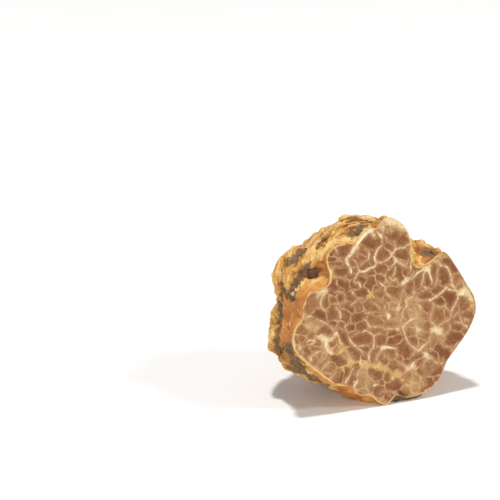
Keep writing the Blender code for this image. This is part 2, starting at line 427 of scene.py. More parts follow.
@dataclass(frozen=True)
class SkinRelief:
    """How the skin stands out from the form.

    The solid has the lobes, furrows, ridges and lumps too, but for the last lobe, a low roll under the face.
    The strands, wrinkles, warts, creases and grains are finer, and the strands are measured in millimetres.
    """

    rim_guard: float = 1.4 * MM
    fine_guard: float = 0.5 * MM
    furrow_blunt: float = 0.3
    lumps: Unevenness = Unevenness(4.6 * MM, (7.3, 2.1, 5.6), 3)
    lump_height: float = 0.55 * MM
    strands: Unevenness = Unevenness((1.25, 6.0, 1.0), 3.7)
    strand_sway: Unevenness = Unevenness(2 * MM, 27.7)
    strand_sway_reach: float = 0.5
    strand_crest: float = 0.4
    strand_height: float = 0.6 * MM
    wrinkles: Unevenness = Unevenness(4.4 * MM, 19.3, 3)
    wrinkle_crest: float = 0.24
    wrinkle_height: float = 0.42 * MM
    wrinkle_tone: float = 0.5
    mean_level: float = 0.6
    warp: tuple[Unevenness, ...] = tuple(Unevenness(2.6 * MM, seed) for seed in (11.3, 23.1, 37.9))
    warp_reach: float = 0.9 * MM
    crease_size: float = 3.0 * MM
    crease_width: float = 0.16
    crease_depth: float = 0.34 * MM
    crease_least: float = 0.3
    crease_tone: float = 0.8
    wart_size: float = 0.62
    wart_level: float = 0.3
    wart_height: float = 0.4 * MM
    wart_tone: float = 0.3
    patches: Unevenness = Unevenness(7 * MM, 51.7)
    patch_contrast: float = 1.2
    orange_calm: float = 0.8
    grains: Unevenness = Unevenness(0.55 * MM, 5.9)
    grain_least: float = 0.25
    grain_height: float = 0.14 * MM
    layer_heights: tuple[tuple[str, float], ...] = (
        ("pale", 0.25 * MM), ("gold", 0.12 * MM), ("earth", -0.35 * MM), ("shaded_hollow", -0.8 * MM),
    )
    lobes: tuple[Stroke, ...] = Stroke.rows(
        (4.5, 1.7, 149, 12.5), (5, 1.5, 204, 12), (3, 0.4, 172, 3), (5, 0.6, 98, 9), (5, 0.9, 75, 14),
        (5, 0.7, 25, 7), (6, 1.1, 345, 9), (5, 1, 5, 17), (5, 0.7, 310, 8), (5, 1, 325, 18),
        (5, 1, 120, 19), (5, 0.4, 180, 17), (5, 0.9, 218, 11), (5, 0.9, 230, 19), (4.5, 1.1, 60, 21),
        (7.5, 1.8, 272, 15.5), (2.6, 0.9, 134, 10), (1.7, 2.3, 275, 1.9, 283, 1.8, 292, 2.2),
    )
    furrows: tuple[Stroke, ...] = Stroke.rows(
        (1.5, 1.6, 147, 0, 145, 3, 151, 4.4, 158, 4.8, 167, 4.9, 175, 6.6, 184, 7.6, 197, 9.6, 208, 12.5,
         222, 14, 243, 13), (1, 0.9, 146, 2.8, 138, 3.4, 132, 3.5, 126, 3.5, 114, 3.8, 104, 3.6, 97, 2.6),
        (2.4, 2.3, 126, 6, 121, 8.5, 119, 11.5, 135, 15.5, 152, 17.5, 162, 20, 150, 23),
        (1.8, 1.2, 50, 0, 51, 4, 56, 9, 48, 13, 36, 16, 35, 20, 60, 24.5),
        (1.6, 1.2, 95, 15, 85, 18.5, 92, 22, 150, 23), (1.7, 1.2, 56, 9, 75, 8, 84, 5.5),
        (1.6, 1.1, 20, 12.5, 6, 11.5, 352, 14, 345, 18, 352, 22.5, 60, 24.5),
        (1.5, 0.9, 318, 0, 324, 4.5, 330, 9.5, 322, 13, 305, 14.5, 296, 18, 300, 22.5, 352, 22.5),
        (1.5, 1.1, 222, 14, 214, 18, 205, 21.5, 150, 23),
        (1.3, 0.8, 240, 0, 237, 4, 232, 7, 243, 13, 262, 16.5, 296, 18),
        (1.2, 0.8, 184, 7.6, 176, 11, 168, 13.5, 163, 17.5),
    )
    ridges: tuple[Stroke, ...] = Stroke.rows(
        (0.9, 0.8, 140, 4.6, 134, 4.9, 129, 4.9, 123, 5.1, 116, 5.6, 103, 7.2),
        (1.1, 0.6, 166, 11, 158, 11.6, 149, 11.6, 138, 11), (0.8, 0.5, 189, 11.5, 197, 12.5, 204, 14.5),
        (0.9, 0.5, 147, 8.6, 141, 8.2, 136, 8), (1, 0.6, 158, 7.4, 153, 8.2),
    )

    def large(self, form: HalfForm, points: np.ndarray) -> tuple[np.ndarray, np.ndarray, np.ndarray]:
        """The lobes, furrows, ridges and lumps that the solid has too.

        Args:
            form: the form that the relief stands on.
            points: the form's points, across, up and back from the middle of the cut face.

        Returns:
            The height in metres, and from 0 to 1 how deep in a furrow and how high on a ridge each point is.
        """
        height = np.zeros(len(points))
        sunk, raised = height.copy(), height.copy()
        for lobe in self.lobes:
            height += lobe.strength * MM * np.exp(-(self.gap(form, points, lobe) ** 2))
        for furrow in self.furrows:
            gap = self.gap(form, points, furrow)
            drop = np.exp(-(np.sqrt(gap**2 + self.furrow_blunt**2) - self.furrow_blunt))
            height -= furrow.strength * MM * drop
            sunk = np.maximum(sunk, drop)
        for ridge in self.ridges:
            rise = np.exp(-(self.gap(form, points, ridge) ** 2))
            height += ridge.strength * MM * rise
            raised = np.maximum(raised, rise)
        height += self.lump_height * self.lumps.at(points)
        return height * smooth_step(points[:, 2] / self.rim_guard), sunk, raised

    def gap(self, form: HalfForm, points: np.ndarray, stroke: Stroke) -> np.ndarray:
        """How far points of the form are from a stroke on it, in shares of the stroke's width."""
        return gap_to_path(points, form.skin_places(stroke.route))[0] / (stroke.width * MM)

    def fine(self, points: np.ndarray, layers: dict[str, np.ndarray]) -> tuple[np.ndarray, np.ndarray]:
        """The strands, wrinkles, warts, creases and grains.

        Args:
            points: the form's points, across, up and back from the middle of the cut face.
            layers: from 0 to 1, how much earth and other colours cover each point and how fibrous it is, and
                its places across and along the strands, in millimetres.

        Returns:
            The height in metres, and a tone from 0 in the creases to 1 on the crests.
        """
        fibrous = layers["fibrous"]
        loose = (1 - fibrous) * (1 - self.orange_calm * layers["orange"])
        patchy = smooth_step(0.5 + self.patch_contrast * self.patches.at(points))
        across = layers["across"] + self.strand_sway_reach * self.strand_sway.at(points)
        combed = np.column_stack([across, layers["along"], np.zeros(len(points))])
        strand = np.clip(np.abs(self.strands.at(combed)) / self.strand_crest, 0, 1)
        wrinkle = np.clip(np.abs(self.wrinkles.at(points)) / self.wrinkle_crest, 0, 1)
        warp = np.stack([unevenness.at(points) for unevenness in self.warp], axis=1)
        cells = (points + self.warp_reach * warp) / self.crease_size
        gaps = np.array([noise.voronoi(place)[0][:2] for place in cells])
        crease = np.exp(-(((gaps[:, 1] - gaps[:, 0]) / self.crease_width) ** 2))
        crease *= loose * (self.crease_least + (1 - self.crease_least) * patchy)
        wart = (1 - np.clip(gaps[:, 0] / self.wart_size, 0, 1) ** 2) * loose * patchy
        height = self.strand_height * (strand - self.mean_level) * fibrous
        height += self.wrinkle_height * (wrinkle - self.mean_level) * loose
        height += self.wart_height * (wart - self.wart_level * patchy) - self.crease_depth * crease
        grainy = self.grain_least + (1 - self.grain_least) * layers["earth"]
        height += self.grain_height * self.grains.at(points) * grainy
        for name, rise in self.layer_heights:
            height += rise * layers[name]
        # The tone darkens creases and lightens crests: partly the skin's own colours, partly painted shade
        # and highlight.
        tone = 0.5 + (strand - 0.5) * fibrous + (wrinkle - 0.5) * self.wrinkle_tone * loose
        tone = (tone + self.wart_tone * wart) * (1 - self.crease_tone * crease)
        return height * smooth_step(points[:, 2] / self.fine_guard), np.clip(tone, 0, 1)


@dataclass(frozen=True)
class SkinPaint:
    """Where colours lie on the skin that the camera sees: half widths in millimetres and picture places."""

    pixels_per_mm: float = 5.0
    facing_from: float = -0.05
    facing_full: float = 0.12
    combed_from: float = 0.3
    fading: float = 0.7
    curve_steps: int = 4
    ragged: tuple[tuple[float, float], ...] = ((1.6 * MM, 0.45), (0.6 * MM, 0.25))
    ragged_seeds: tuple[float, float] = (13.3, 47.1)
    comb_steps: int = 8
    comb: Route = (
        (334, 285), (334, 275), (334.5, 266), (339, 255), (345, 248), (352, 243.5), (359, 242.5), (372, 243),
    )
    fibrous: tuple[Stroke, ...] = Stroke.rows(
        (2.2, 1, 312, 258, 317, 247, 325, 236, 335, 227, 346, 220, 358, 219, 372, 221),
        (2.6, 0.7, 281, 270, 288, 259, 299, 251), (1.8, 0.7, 274, 330, 278, 345, 286, 362),
        (1.6, 0.8, 280, 284, 279, 306, 276, 324),
    )
    earth: tuple[Stroke, ...] = Stroke.rows(
        (0.7, 1, 351, 235, 355, 231, 361, 228, 367, 227),
        (0.6, 1, 286, 264, 291, 261, 296, 256, 300, 251, 304, 247.5),
        (0.8, 1, 290, 297, 293, 288, 297.5, 279, 303, 271, 306, 267),
        (0.55, 1, 309, 275, 313, 272.5, 317, 270), (0.4, 1, 281, 289, 285, 295, 290, 298),
        (0.6, 0.9, 278, 296, 279, 306, 279, 316, 277, 328, 276, 338), (0.5, 0.9, 275.5, 340, 276, 350),
        # The strokes from here to the foot, along the lower rim and under it, are partly soil and partly
        # painted shade.
        (0.9, 1, 287, 346, 291, 356, 295, 365, 301, 374), (1, 0.9, 288, 372, 298, 380, 312, 388, 326, 393),
        (0.8, 0.9, 302, 374, 312, 381, 324, 388),
        (1, 1, 392, 402, 398, 397, 404, 396, 411, 398, 418, 399, 426, 396, 432, 391),
        # The two strokes in the notch at the upper right are partly soil and partly painted shade.
        (0.6, 0.9, 424, 250, 429, 251, 434, 254), (0.4, 0.8, 427, 245, 434, 247, 441, 251),
    )
    # These strokes dent the skin and darken it through sunk: painted shade in the notch, the hole and along
    # the lower rim.
    shaded_hollow: tuple[Stroke, ...] = Stroke.rows(
        (1.2, 0.55, 284, 364, 292, 377, 306, 389, 322, 395, 334, 397),
        (0.9, 1, 423, 249, 429, 251, 434, 255), (0.7, 1, 310, 274, 314, 272, 318, 270),
        (1.8, 0.8, 421, 247, 428, 252, 437, 258), (0.6, 0.55, 319, 264, 321, 271, 321, 278),
        (0.5, 0.7, 276, 288, 277, 300, 277, 316, 275, 330), (0.6, 0.7, 283, 292, 287, 296, 290, 299),
        (0.8, 0.7, 292, 357, 297, 366, 303, 375), (0.5, 0.6, 316, 262, 318, 266),
        (0.5, 0.6, 277, 344, 279, 352), (0.5, 0.5, 317, 236, 321, 231, 327, 227),
        (0.8, 0.9, 426, 260, 431, 257, 436, 253), (0.3, 0.9, 414, 254, 419, 256),
        (0.3, 0.9, 416, 261, 423, 262), (0.3, 0.8, 411, 251, 412, 257), (0.5, 0.6, 427, 260, 424, 258),
    )
    gold: tuple[Stroke, ...] = Stroke.rows(
        (1.3, 1, 324, 229, 335, 222, 348, 218, 362, 219, 375, 221),
        (0.8, 1, 316, 256, 322, 249, 330, 243, 338, 240, 346, 240), (0.7, 1, 295, 269, 299, 265, 304, 260),
        (0.6, 0.9, 308, 266, 312, 263), (0.7, 0.8, 283, 257, 289, 254, 294, 251),
        (0.6, 0.8, 276, 288, 277, 277, 279, 269, 285, 267), (0.5, 0.7, 284, 288, 286, 281, 289, 274),
        (1.4, 0.9, 299, 291, 305, 285, 313, 282, 321, 283), (0.5, 0.7, 280, 306, 281, 316),
        (0.4, 0.9, 271, 330, 271, 338, 272, 346), (0.7, 1, 411, 246, 413, 252, 415, 257),
        (0.5, 0.9, 420, 258, 421, 263), (0.4, 0.8, 414, 243, 420, 243, 426, 244.5),
    )
    orange: tuple[Stroke, ...] = Stroke.rows(
        (2.2, 1, 287, 336, 289, 320, 293, 308, 300, 298, 308, 292, 316, 290),
        # The first stroke below is partly the wall's orange and partly painted light against the shade of the
        # furrow.
        (1.1, 1, 321, 260, 323, 268, 324.5, 276, 326, 285), (0.6, 0.6, 281, 346, 284, 356, 288, 366),
        (0.8, 1, 340, 389, 350, 394, 360, 399), (0.5, 0.8, 310, 369, 322, 377, 336, 385),
        (0.6, 0.6, 376, 396, 384, 402, 390, 404), (1.6, 0.9, 420, 250, 428, 254, 436, 258),
    )
    pale: tuple[Stroke, ...] = Stroke.rows(
        (0.7, 0.8, 319, 257, 322, 250, 328, 245, 336, 241, 345, 239.5, 353, 238),
        (0.4, 1, 370, 226.5, 365, 229, 361, 232.5, 357, 237, 354, 242),
        (0.6, 0.7, 335, 218, 345, 215, 356, 216, 366, 218, 375, 219),
        (0.25, 1, 319, 247, 314.5, 251.5, 312, 257, 311, 260), (0.22, 0.8, 322, 228, 320, 237, 313, 247),
        (0.22, 0.8, 284, 250, 291.5, 248, 298.5, 246, 307, 244),
        (0.22, 0.9, 291, 296, 293, 291.5, 296.5, 288.5, 301, 284, 306, 279),
        (0.2, 0.5, 279.5, 288, 282.5, 292, 288.5, 300.5), (0.3, 0.9, 311, 280, 316, 280, 320, 279),
        (0.25, 0.8, 318, 294, 322, 291, 326, 289), (0.3, 0.9, 413, 247, 415, 251),
        (0.25, 0.8, 415, 258, 418, 258.5, 420, 260), (0.22, 0.8, 420, 255, 422, 257),
        (0.25, 0.8, 418, 264, 421, 264.5), (0.3, 0.7, 437, 256, 441, 252.5),
        (0.35, 0.8, 271.5, 328, 270.5, 336, 271, 343), (0.3, 0.6, 301, 284, 306, 281, 312, 280),
    )

    def combed(self, seen_at: np.ndarray) -> tuple[np.ndarray, np.ndarray]:
        """How far across and along the strands, which run beside the comb, points are in millimetres."""
        across, along = gap_to_path(seen_at, smooth_curve(np.array(self.comb), False, self.comb_steps))
        return across / self.pixels_per_mm, along / self.pixels_per_mm

    def shifted(self, points: np.ndarray, seen_at: np.ndarray) -> np.ndarray:
        """Shifts picture places unevenly, so that what is painted has ragged edges.

        Args:
            points: the form's points.
            seen_at: their picture places.

        Returns:
            The shifted picture places.
        """
        shifted = seen_at.copy()
        for size, amount in self.ragged:
            for axis, seed in enumerate(self.ragged_seeds):
                shifted[:, axis] += Unevenness(size, seed).at(points) * amount * self.pixels_per_mm
        return shifted

    def cover(self, strokes: Iterable[Stroke], seen_at: np.ndarray) -> np.ndarray:
        """How fully strokes cover points of the skin, from 0 to 1, by the points' picture places."""
        scale = self.pixels_per_mm / math.sqrt(self.fading)
        return soft_cover(strokes, seen_at, scale, self.curve_steps)


@dataclass(frozen=True)
class Marbling:
    """The veins of the cut face, by picture places, with widths in millimetres.

    A vein's strength is how white it is, and an island's how pale. A route of one place is a knot where veins
    meet. Haze, bloom, dusk, the lip, the worn rim and the pits are soft patches; dusk and a pit along the
    bottom of the face are painted shade.
    """

    pixels_per_mm: float = 5.0
    curve_steps: int = 5
    sway: tuple[Unevenness, ...] = (Unevenness(0.9 * MM, 1.7), Unevenness(0.9 * MM, 9.1))
    vein_sway: float = 0.14
    net_sway: float = 0.24
    reach: float = 1.6
    merge: float = 0.06
    least_merged: float = 1e-30
    tip_length: float = 0.8
    tip_share: float = 0.6
    knot_share: float = 0.75
    tone_reach: float = 0.07
    tone_depth: float = 0.3
    least_weight: float = 1e-9
    crown: tuple[Stroke, ...] = Stroke.rows(
        (0.8, 1.2, 371.5, 229, 367, 231.5, 363, 235, 359, 239.5, 356.5, 244, 355, 247),
        (0.6, 0.9, 355, 247, 352, 250, 349, 255, 346, 259, 347, 263, 349.5, 268, 350.5, 272),
        (0.88, 0.55, 356, 248), (0.72, 0.55, 354, 251.5), (0.8, 0.9, 345.5, 259),
        (0.32, 0.6, 358, 253, 356, 256), (0.4, 0.7, 370.5, 228, 372, 233, 373.5, 235.5),
        (0.5, 0.95, 376.5, 231, 379, 234, 381.5, 238), (0.5, 0.6, 383.5, 224, 383, 230, 382, 235),
        (0.4, 0.75, 387, 221, 391, 225, 396, 227.5), (0.4, 0.75, 385, 222, 392, 224, 399, 227, 401, 231),
        (0.36, 0.6, 390, 225, 390.5, 232), (0.36, 0.6, 399, 228, 400, 233), (0.88, 0.8, 388, 222),
        (0.72, 0.8, 393, 223.5), (0.8, 0.7, 399, 226), (0.8, 0.7, 403, 230), (0.6, 0.7, 407, 235),
        (0.4, 0.6, 408, 232, 410.5, 238, 411, 244),
        (0.4, 0.85, 410, 243, 407, 244.5, 404, 247, 400, 248, 396, 248.5, 394.5, 249.5),
        (0.6, 0.85, 395, 249), (0.36, 0.6, 395.5, 249, 395, 245, 394, 241.5),
    )
    upper: tuple[Stroke, ...] = Stroke.rows(
        (0.36, 0.8, 395, 249, 393.5, 252, 392, 254, 391, 256, 386.5, 259.5, 383, 261.5, 379, 262, 376, 261),
        (0.8, 0.85, 392, 253.5), (0.88, 0.9, 396, 260.5), (0.4, 0.9, 392, 254, 394, 257, 395.5, 260),
        (0.44, 0.9, 382, 245, 379, 247, 376.5, 250, 375, 254, 374, 257, 375, 260, 376, 262, 375, 265, 373,
         267, 369, 268, 366.5, 270, 364, 271, 360, 271, 358, 270),
        (0.36, 0.7, 365, 248, 367.5, 250, 368.5, 254, 368.5, 257, 368, 259, 365, 261, 362, 263, 360, 265),
        (0.36, 0.8, 358.5, 270.5, 357, 274, 355, 277.5, 354, 280.5, 355.5, 283),
        (0.32, 0.5, 365, 270.5, 364.5, 275, 367, 278), (0.32, 0.6, 359, 270.5, 357, 266.5, 357.5, 264),
        (0.4, 0.9, 357, 281.5, 359, 284, 360.5, 287), (0.36, 0.75, 396, 260.5, 393, 264, 390.5, 266.5),
        (0.36, 0.7, 396, 260.5, 399, 262, 403, 265.5, 405, 266), (0.8, 0.6, 403, 265),
        (0.36, 0.65, 405, 266, 407, 262, 408, 259), (0.32, 0.7, 395, 266, 394.5, 270, 393.5, 274, 391, 277),
        (0.36, 0.75, 388.5, 277, 390.5, 279, 393, 280, 396, 278), (0.3, 0.6, 396, 278, 398, 282, 400, 285),
        (0.4, 0.65, 410, 248, 409.5, 253, 411, 257, 411, 262, 410, 268, 409, 272), (0.8, 0.95, 403, 282),
        (0.8, 0.95, 406, 280), (0.52, 0.95, 409, 278.5), (0.32, 0.7, 409, 278.5, 411, 275, 412.5, 271),
        (0.36, 0.8, 404.5, 283, 405, 287),
    )
    right_lobe: tuple[Stroke, ...] = Stroke.rows(
        (1.3, 1, 424, 267.5, 428.5, 268.5), (0.4, 0.85, 421, 270, 417, 272.5, 413, 276, 411, 280),
        (0.8, 0.95, 425, 268, 421, 270.5), (0.7, 0.95, 427.5, 269, 429, 273.5),
        (0.6, 0.9, 425, 269, 423.8, 273), (0.6, 0.9, 428, 268, 430, 264.5),
        (0.36, 0.75, 424, 272, 422.5, 277, 421.5, 283, 421.5, 287),
        (0.4, 0.8, 428, 272, 430, 276, 431.5, 281, 431, 283),
        (0.44, 0.75, 436.5, 259, 438.5, 262, 440, 264.5, 444, 265.5, 446.5, 267, 448.5, 270, 450.5, 275,
         451.5, 280, 452, 285, 455, 288.5),
        (0.3, 0.6, 439.5, 265, 437.5, 270, 437, 275, 436, 282, 434.5, 286), (0.64, 0.85, 445, 287.5),
        (0.4, 0.9, 445, 287.5, 443, 290, 440, 292.5, 438, 294.5, 435.5, 296, 433, 298, 430.5, 300),
        (0.72, 0.9, 435.5, 296), (0.76, 0.9, 429.5, 299.5), (0.32, 0.6, 445, 287.5, 448, 285, 449.5, 283),
        (0.36, 0.8, 445, 287.5, 451, 289.5, 456, 290.5, 460, 292), (1.9, 0.95, 461, 291.5),
        (0.8, 0.75, 457, 294, 465, 289), (0.4, 0.7, 458, 294, 457, 299, 454.5, 304, 452, 308, 450.5, 312),
        (0.28, 0.5, 455, 289, 456.5, 285, 459, 283, 460, 279), (0.32, 0.65, 452, 318, 458, 311),
        (0.36, 0.75, 459, 313.5, 460.5, 318, 461, 322),
        (0.36, 0.7, 453.5, 322, 458, 322, 461, 322.5, 464, 325, 466.5, 325.5), (0.8, 0.75, 466, 325.5),
    )
    middle: tuple[Stroke, ...] = Stroke.rows(
        (0.56, 0.61, 427, 287.5), (0.36, 0.66, 421.5, 286, 424, 286.5, 427, 288, 431, 288.5),
        (0.3, 0.53, 427, 288, 424, 289, 420, 292), (0.72, 0.57, 416, 298),
        (0.32, 0.49, 413, 290, 414, 294, 416, 298, 421, 300, 429, 300),
        (0.4, 0.7, 413, 287, 413.5, 293, 413, 296, 409, 298, 406, 300, 406.5, 304, 405.5, 307, 403, 309.5,
         402, 313, 402, 318),
        (0.36, 0.53, 430, 300, 433.5, 304, 432, 309, 430, 315, 429.5, 319, 431, 322, 434, 325),
        (0.48, 0.57, 429, 318.5), (0.32, 0.57, 434, 305, 440, 306.5, 444, 305, 446, 303),
        (0.36, 0.57, 444, 305, 447, 309, 450, 310),
        (0.4, 0.57, 450, 310, 450.5, 315, 448.5, 319, 444, 321.5, 440, 324, 437, 327),
        (0.88, 0.74, 433, 329), (0.96, 0.74, 437, 329.5), (0.4, 0.7, 437, 329.5, 441, 332, 443, 335),
        (0.6, 0.7, 443, 335), (0.3, 0.49, 443, 335, 445, 333, 449, 330, 450, 327, 449, 322, 450, 318),
        (0.3, 0.49, 443, 335, 444, 339, 440, 342), (0.36, 0.61, 440, 342, 443, 345, 447, 346.5, 451, 346),
        (0.32, 0.45, 432, 331, 430, 336, 429, 341, 427, 346, 426, 349), (0.56, 0.66, 364.5, 319.5),
        (0.4, 0.61, 364.5, 319.5, 367, 323, 369.5, 326, 374, 326.5, 380, 326.5, 386, 329, 390, 328.5, 394,
         328, 397.5, 329), (0.88, 0.61, 397.5, 329), (0.4, 0.66, 365, 312, 367.5, 313, 371, 311.5),
        (0.28, 0.41, 397.5, 329, 401, 326, 404, 324), (0.96, 0.57, 397, 308.5),
        (0.38, 0.61, 397, 308.5, 398.5, 304, 400, 300, 401, 295, 402.5, 291, 403, 288),
        (0.32, 0.49, 397, 308.5, 393, 309, 390, 309), (0.28, 0.37, 397, 308.5, 396.5, 313, 397, 318),
        (0.72, 0.66, 387.5, 316), (0.44, 0.78, 387, 313.5, 388.5, 316.5, 386, 319),
        (0.3, 0.45, 387, 313.5, 384.5, 311, 384, 306, 383.5, 303, 380, 300.5, 376, 298),
        (0.32, 0.57, 384, 315, 381, 315, 378.5, 315.5), (0.28, 0.41, 388, 318, 391, 319, 396, 319),
        (0.4, 0.7, 378.5, 282, 381, 284, 384, 286, 384.5, 290, 386, 293, 389, 296, 391, 299),
        (0.34, 0.53, 384.5, 287, 388, 285, 390.5, 281.5),
        (0.32, 0.53, 371, 301, 375, 303.5, 378.5, 306.5, 379, 310),
        (0.28, 0.45, 374, 291, 379, 289, 381, 286),
    )
    left: tuple[Stroke, ...] = Stroke.rows(
        (0.36, 0.68, 350.5, 289, 352.5, 292.5, 355, 296),
        (0.32, 0.63, 335, 291.5, 339, 291.5, 342.5, 292, 344.5, 295.5),
        (0.32, 0.54, 344.5, 298, 344, 301, 341, 304), (0.4, 0.72, 356, 300.5, 353, 302.5, 351, 304.5),
        (0.52, 0.72, 360.5, 301),
        (0.42, 0.77, 328.5, 289, 326.5, 290, 324, 293.5, 322, 297, 320.5, 301, 320.5, 305, 322, 308, 325.5,
         311), (0.6, 0.63, 327, 289, 322, 291.5, 319, 294, 317, 297),
        (0.44, 0.77, 336, 307, 338.5, 310.5, 340, 314, 339.5, 317.5),
        (0.4, 0.72, 304.5, 318.5, 307, 316.5, 310, 315.5, 313, 316.5),
        (0.36, 0.63, 316, 318.5, 321, 321, 326, 323.5, 330, 326, 333, 329, 334, 331.5),
        (0.88, 0.85, 335.5, 332.5), (0.3, 0.63, 305, 325, 311, 329, 316, 333),
        (0.6, 0.77, 320.5, 338, 325, 336.5, 327.5, 338, 326, 342, 325.5, 346, 327, 350, 329, 352.5),
        (0.8, 0.8, 325, 338.5, 331, 339, 335, 333), (0.92, 0.77, 330, 352.5),
        (0.36, 0.77, 306, 341.5, 310, 340, 314, 340.5, 311, 343.5, 306, 344), (0.96, 0.63, 299.5, 346.5),
        (0.4, 0.63, 299.5, 343, 298, 346, 300, 350),
        (0.46, 0.77, 310, 361.5, 310.5, 357, 313, 354.5, 316.5, 352, 320, 350.5),
        (0.72, 0.77, 310.5, 358.5), (0.52, 0.77, 326.5, 264.5, 328, 268, 329.5, 272, 330, 276),
        (0.72, 0.77, 329.5, 272), (0.32, 0.63, 331, 268, 335, 266, 338, 265.5),
        (0.32, 0.54, 331, 276, 337, 277, 341, 277.5, 345, 280),
        (0.32, 0.63, 334.5, 247.5, 336, 250, 336.5, 253.5), (0.24, 0.41, 344, 258, 345, 262, 342, 264.5),
        (0.38, 0.77, 348, 336, 350, 340, 352, 343.5, 357, 345.5),
        (0.34, 0.68, 346, 330, 344.5, 328, 345, 325.5, 348, 323),
        (0.32, 0.59, 338, 327.5, 342, 329, 345, 331),
        (0.5, 0.8, 336, 332.5, 338.5, 337, 340, 342, 342, 346),
        (0.32, 0.45, 354, 334.5, 357, 333, 359, 331.5),
    )
    lower: tuple[Stroke, ...] = Stroke.rows(
        (0.48, 0.95, 427, 342, 423.5, 345.5, 420, 348.5, 417.5, 350.5),
        (0.38, 0.8, 417.5, 350, 412, 346, 408, 342, 405.5, 337, 403.5, 332, 402.5, 328, 405, 324, 408, 321,
         410.5, 319.5, 414, 318.5, 416, 317), (0.48, 0.8, 410.5, 319.5),
        (0.3, 0.6, 416, 317, 415.5, 312, 414.5, 308), (0.28, 0.6, 416, 317, 419, 319.5, 422, 323),
        (0.36, 0.7, 420.5, 311, 420, 307, 417.5, 304), (0.96, 0.8, 426, 354), (0.8, 0.8, 428.5, 357),
        (0.4, 0.6, 428.5, 357, 431, 358, 436, 362, 441, 363, 443, 360.5, 442, 358),
        (0.36, 0.7, 426, 354, 422, 352, 419, 349.5), (0.88, 0.7, 442, 362),
        (0.4, 0.5, 428, 358, 425, 360, 423, 364, 421, 368), (0.88, 0.9, 408, 368.5),
        (0.44, 0.9, 408, 368.5, 411, 366, 413, 362.5, 414, 361),
        (0.4, 0.7, 408, 368.5, 404.5, 366, 402, 363.5, 400.5, 362),
        (0.36, 0.6, 408, 368.5, 406, 371, 405, 374),
        (0.32, 0.5, 408, 368.5, 411, 371, 412.5, 374, 412, 378), (1.04, 0.9, 384.5, 346.5),
        (0.48, 0.95, 380.5, 348.5, 384, 346, 389, 347, 393, 347.5, 396, 348),
        (0.3, 0.5, 396, 348, 396.5, 353, 396, 357), (0.32, 0.6, 382, 349, 379, 353, 376.5, 357, 375.5, 361),
        (0.28, 0.5, 383.5, 352, 385, 356), (0.48, 0.7, 369, 361, 368.5, 358, 368.5, 353, 370.5, 350),
        (0.44, 0.75, 370.5, 350, 373, 347, 373.5, 343, 373.5, 339, 373.5, 335),
        (0.36, 0.8, 373, 335, 370, 333, 367, 331, 364, 330, 362, 332),
        (0.32, 0.7, 373.5, 336, 377, 334, 380, 333),
        (0.36, 0.75, 320.5, 371, 322.5, 368, 325, 365, 327.5, 362.5, 329, 360),
        (0.36, 0.75, 329, 379, 331.5, 376, 334, 373, 334.5, 371),
        (0.38, 0.85, 344.5, 384, 346.5, 379.5, 349.5, 375.5, 351, 371, 353, 367.5),
        (0.52, 1, 353.5, 386, 355.5, 382.5, 357.5, 380), (0.28, 0.7, 356, 377, 357.5, 373),
        (0.44, 0.95, 372.5, 385, 378, 384), (0.8, 0.95, 374.5, 384.5),
        (0.36, 0.7, 350, 342, 353, 345, 358, 346, 364, 345, 368, 345), (0.52, 0.7, 357, 348),
        (0.48, 0.7, 361.5, 351.5), (0.3, 0.7, 357.5, 348.5, 361, 350, 363, 354),
        (0.28, 0.5, 330, 352.5, 326, 355, 323, 359, 320, 361),
        (0.3, 0.5, 379, 393, 383, 391, 388, 392, 390, 396), (0.8, 0.7, 392, 377.5), (0.64, 0.7, 402.5, 380),
        (0.52, 0.7, 411, 381),
    )
    golden: tuple[Stroke, ...] = Stroke.rows(
        (0.6, 0.75, 337, 369.5, 341, 368, 346, 365, 349, 362.5, 354, 361, 359, 361.5, 362, 363, 367, 363,
         372, 365, 377, 366, 382, 369, 387, 372.5, 392, 376, 397, 377, 402, 380, 406, 382),
        (0.44, 0.6, 344, 351, 349, 353, 353, 358, 356, 361),
        (0.36, 0.8, 332, 348.5, 336, 347.5, 341, 346, 345, 345), (0.52, 0.9, 340, 348.5),
        (0.72, 0.7, 370, 296), (0.4, 0.8, 370, 297.5, 373, 294.5), (0.4, 0.8, 368.5, 291, 369.5, 294),
        (0.36, 0.8, 428.5, 266, 430, 262.5, 433, 260, 436, 260.5),
        (0.48, 0.6, 440, 252, 437, 256, 436.5, 259), (0.6, 0.7, 469, 300, 471, 304),
        (1.2, 0.5, 396, 373, 404, 378, 411, 385), (0.9, 0.5, 356, 362, 362, 365, 370, 366),
        (0.8, 0.5, 334, 351, 341, 353, 348, 360), (0.6, 0.5, 297, 322, 296, 330, 297, 338),
        (0.5, 1, 411, 247, 413, 256, 417, 263, 424, 262.5, 431, 258, 439, 251),
        (0.4, 0.8, 331, 266, 333, 274, 335, 283),
    )
    haze: tuple[Stroke, ...] = Stroke.rows(
        (0.8, 0.7, 386, 220, 395, 222, 404, 228), (2.2, 0.6, 410, 300, 418, 330),
        (1.4, 0.7, 468, 288, 469, 296), (2, 0.5, 395, 300, 400, 320), (1.2, 0.7, 308, 324, 315, 327),
        (1.6, 0.6, 362, 372, 368, 380, 366, 388), (2, 0.6, 410, 386, 420, 382),
        (1, 0.6, 322, 342, 326, 352), (1.6, 0.5, 433, 328, 440, 334), (1.2, 0.6, 340, 352, 350, 358),
        (1.6, 0.45, 420, 345, 414, 352), (1.6, 0.45, 432, 366, 426, 374), (1.6, 0.35, 372, 236, 392, 242),
        (1.8, 0.4, 320, 360, 334, 372), (1.4, 0.45, 300, 352, 310, 366), (1.6, 0.4, 384, 356, 394, 362),
    )
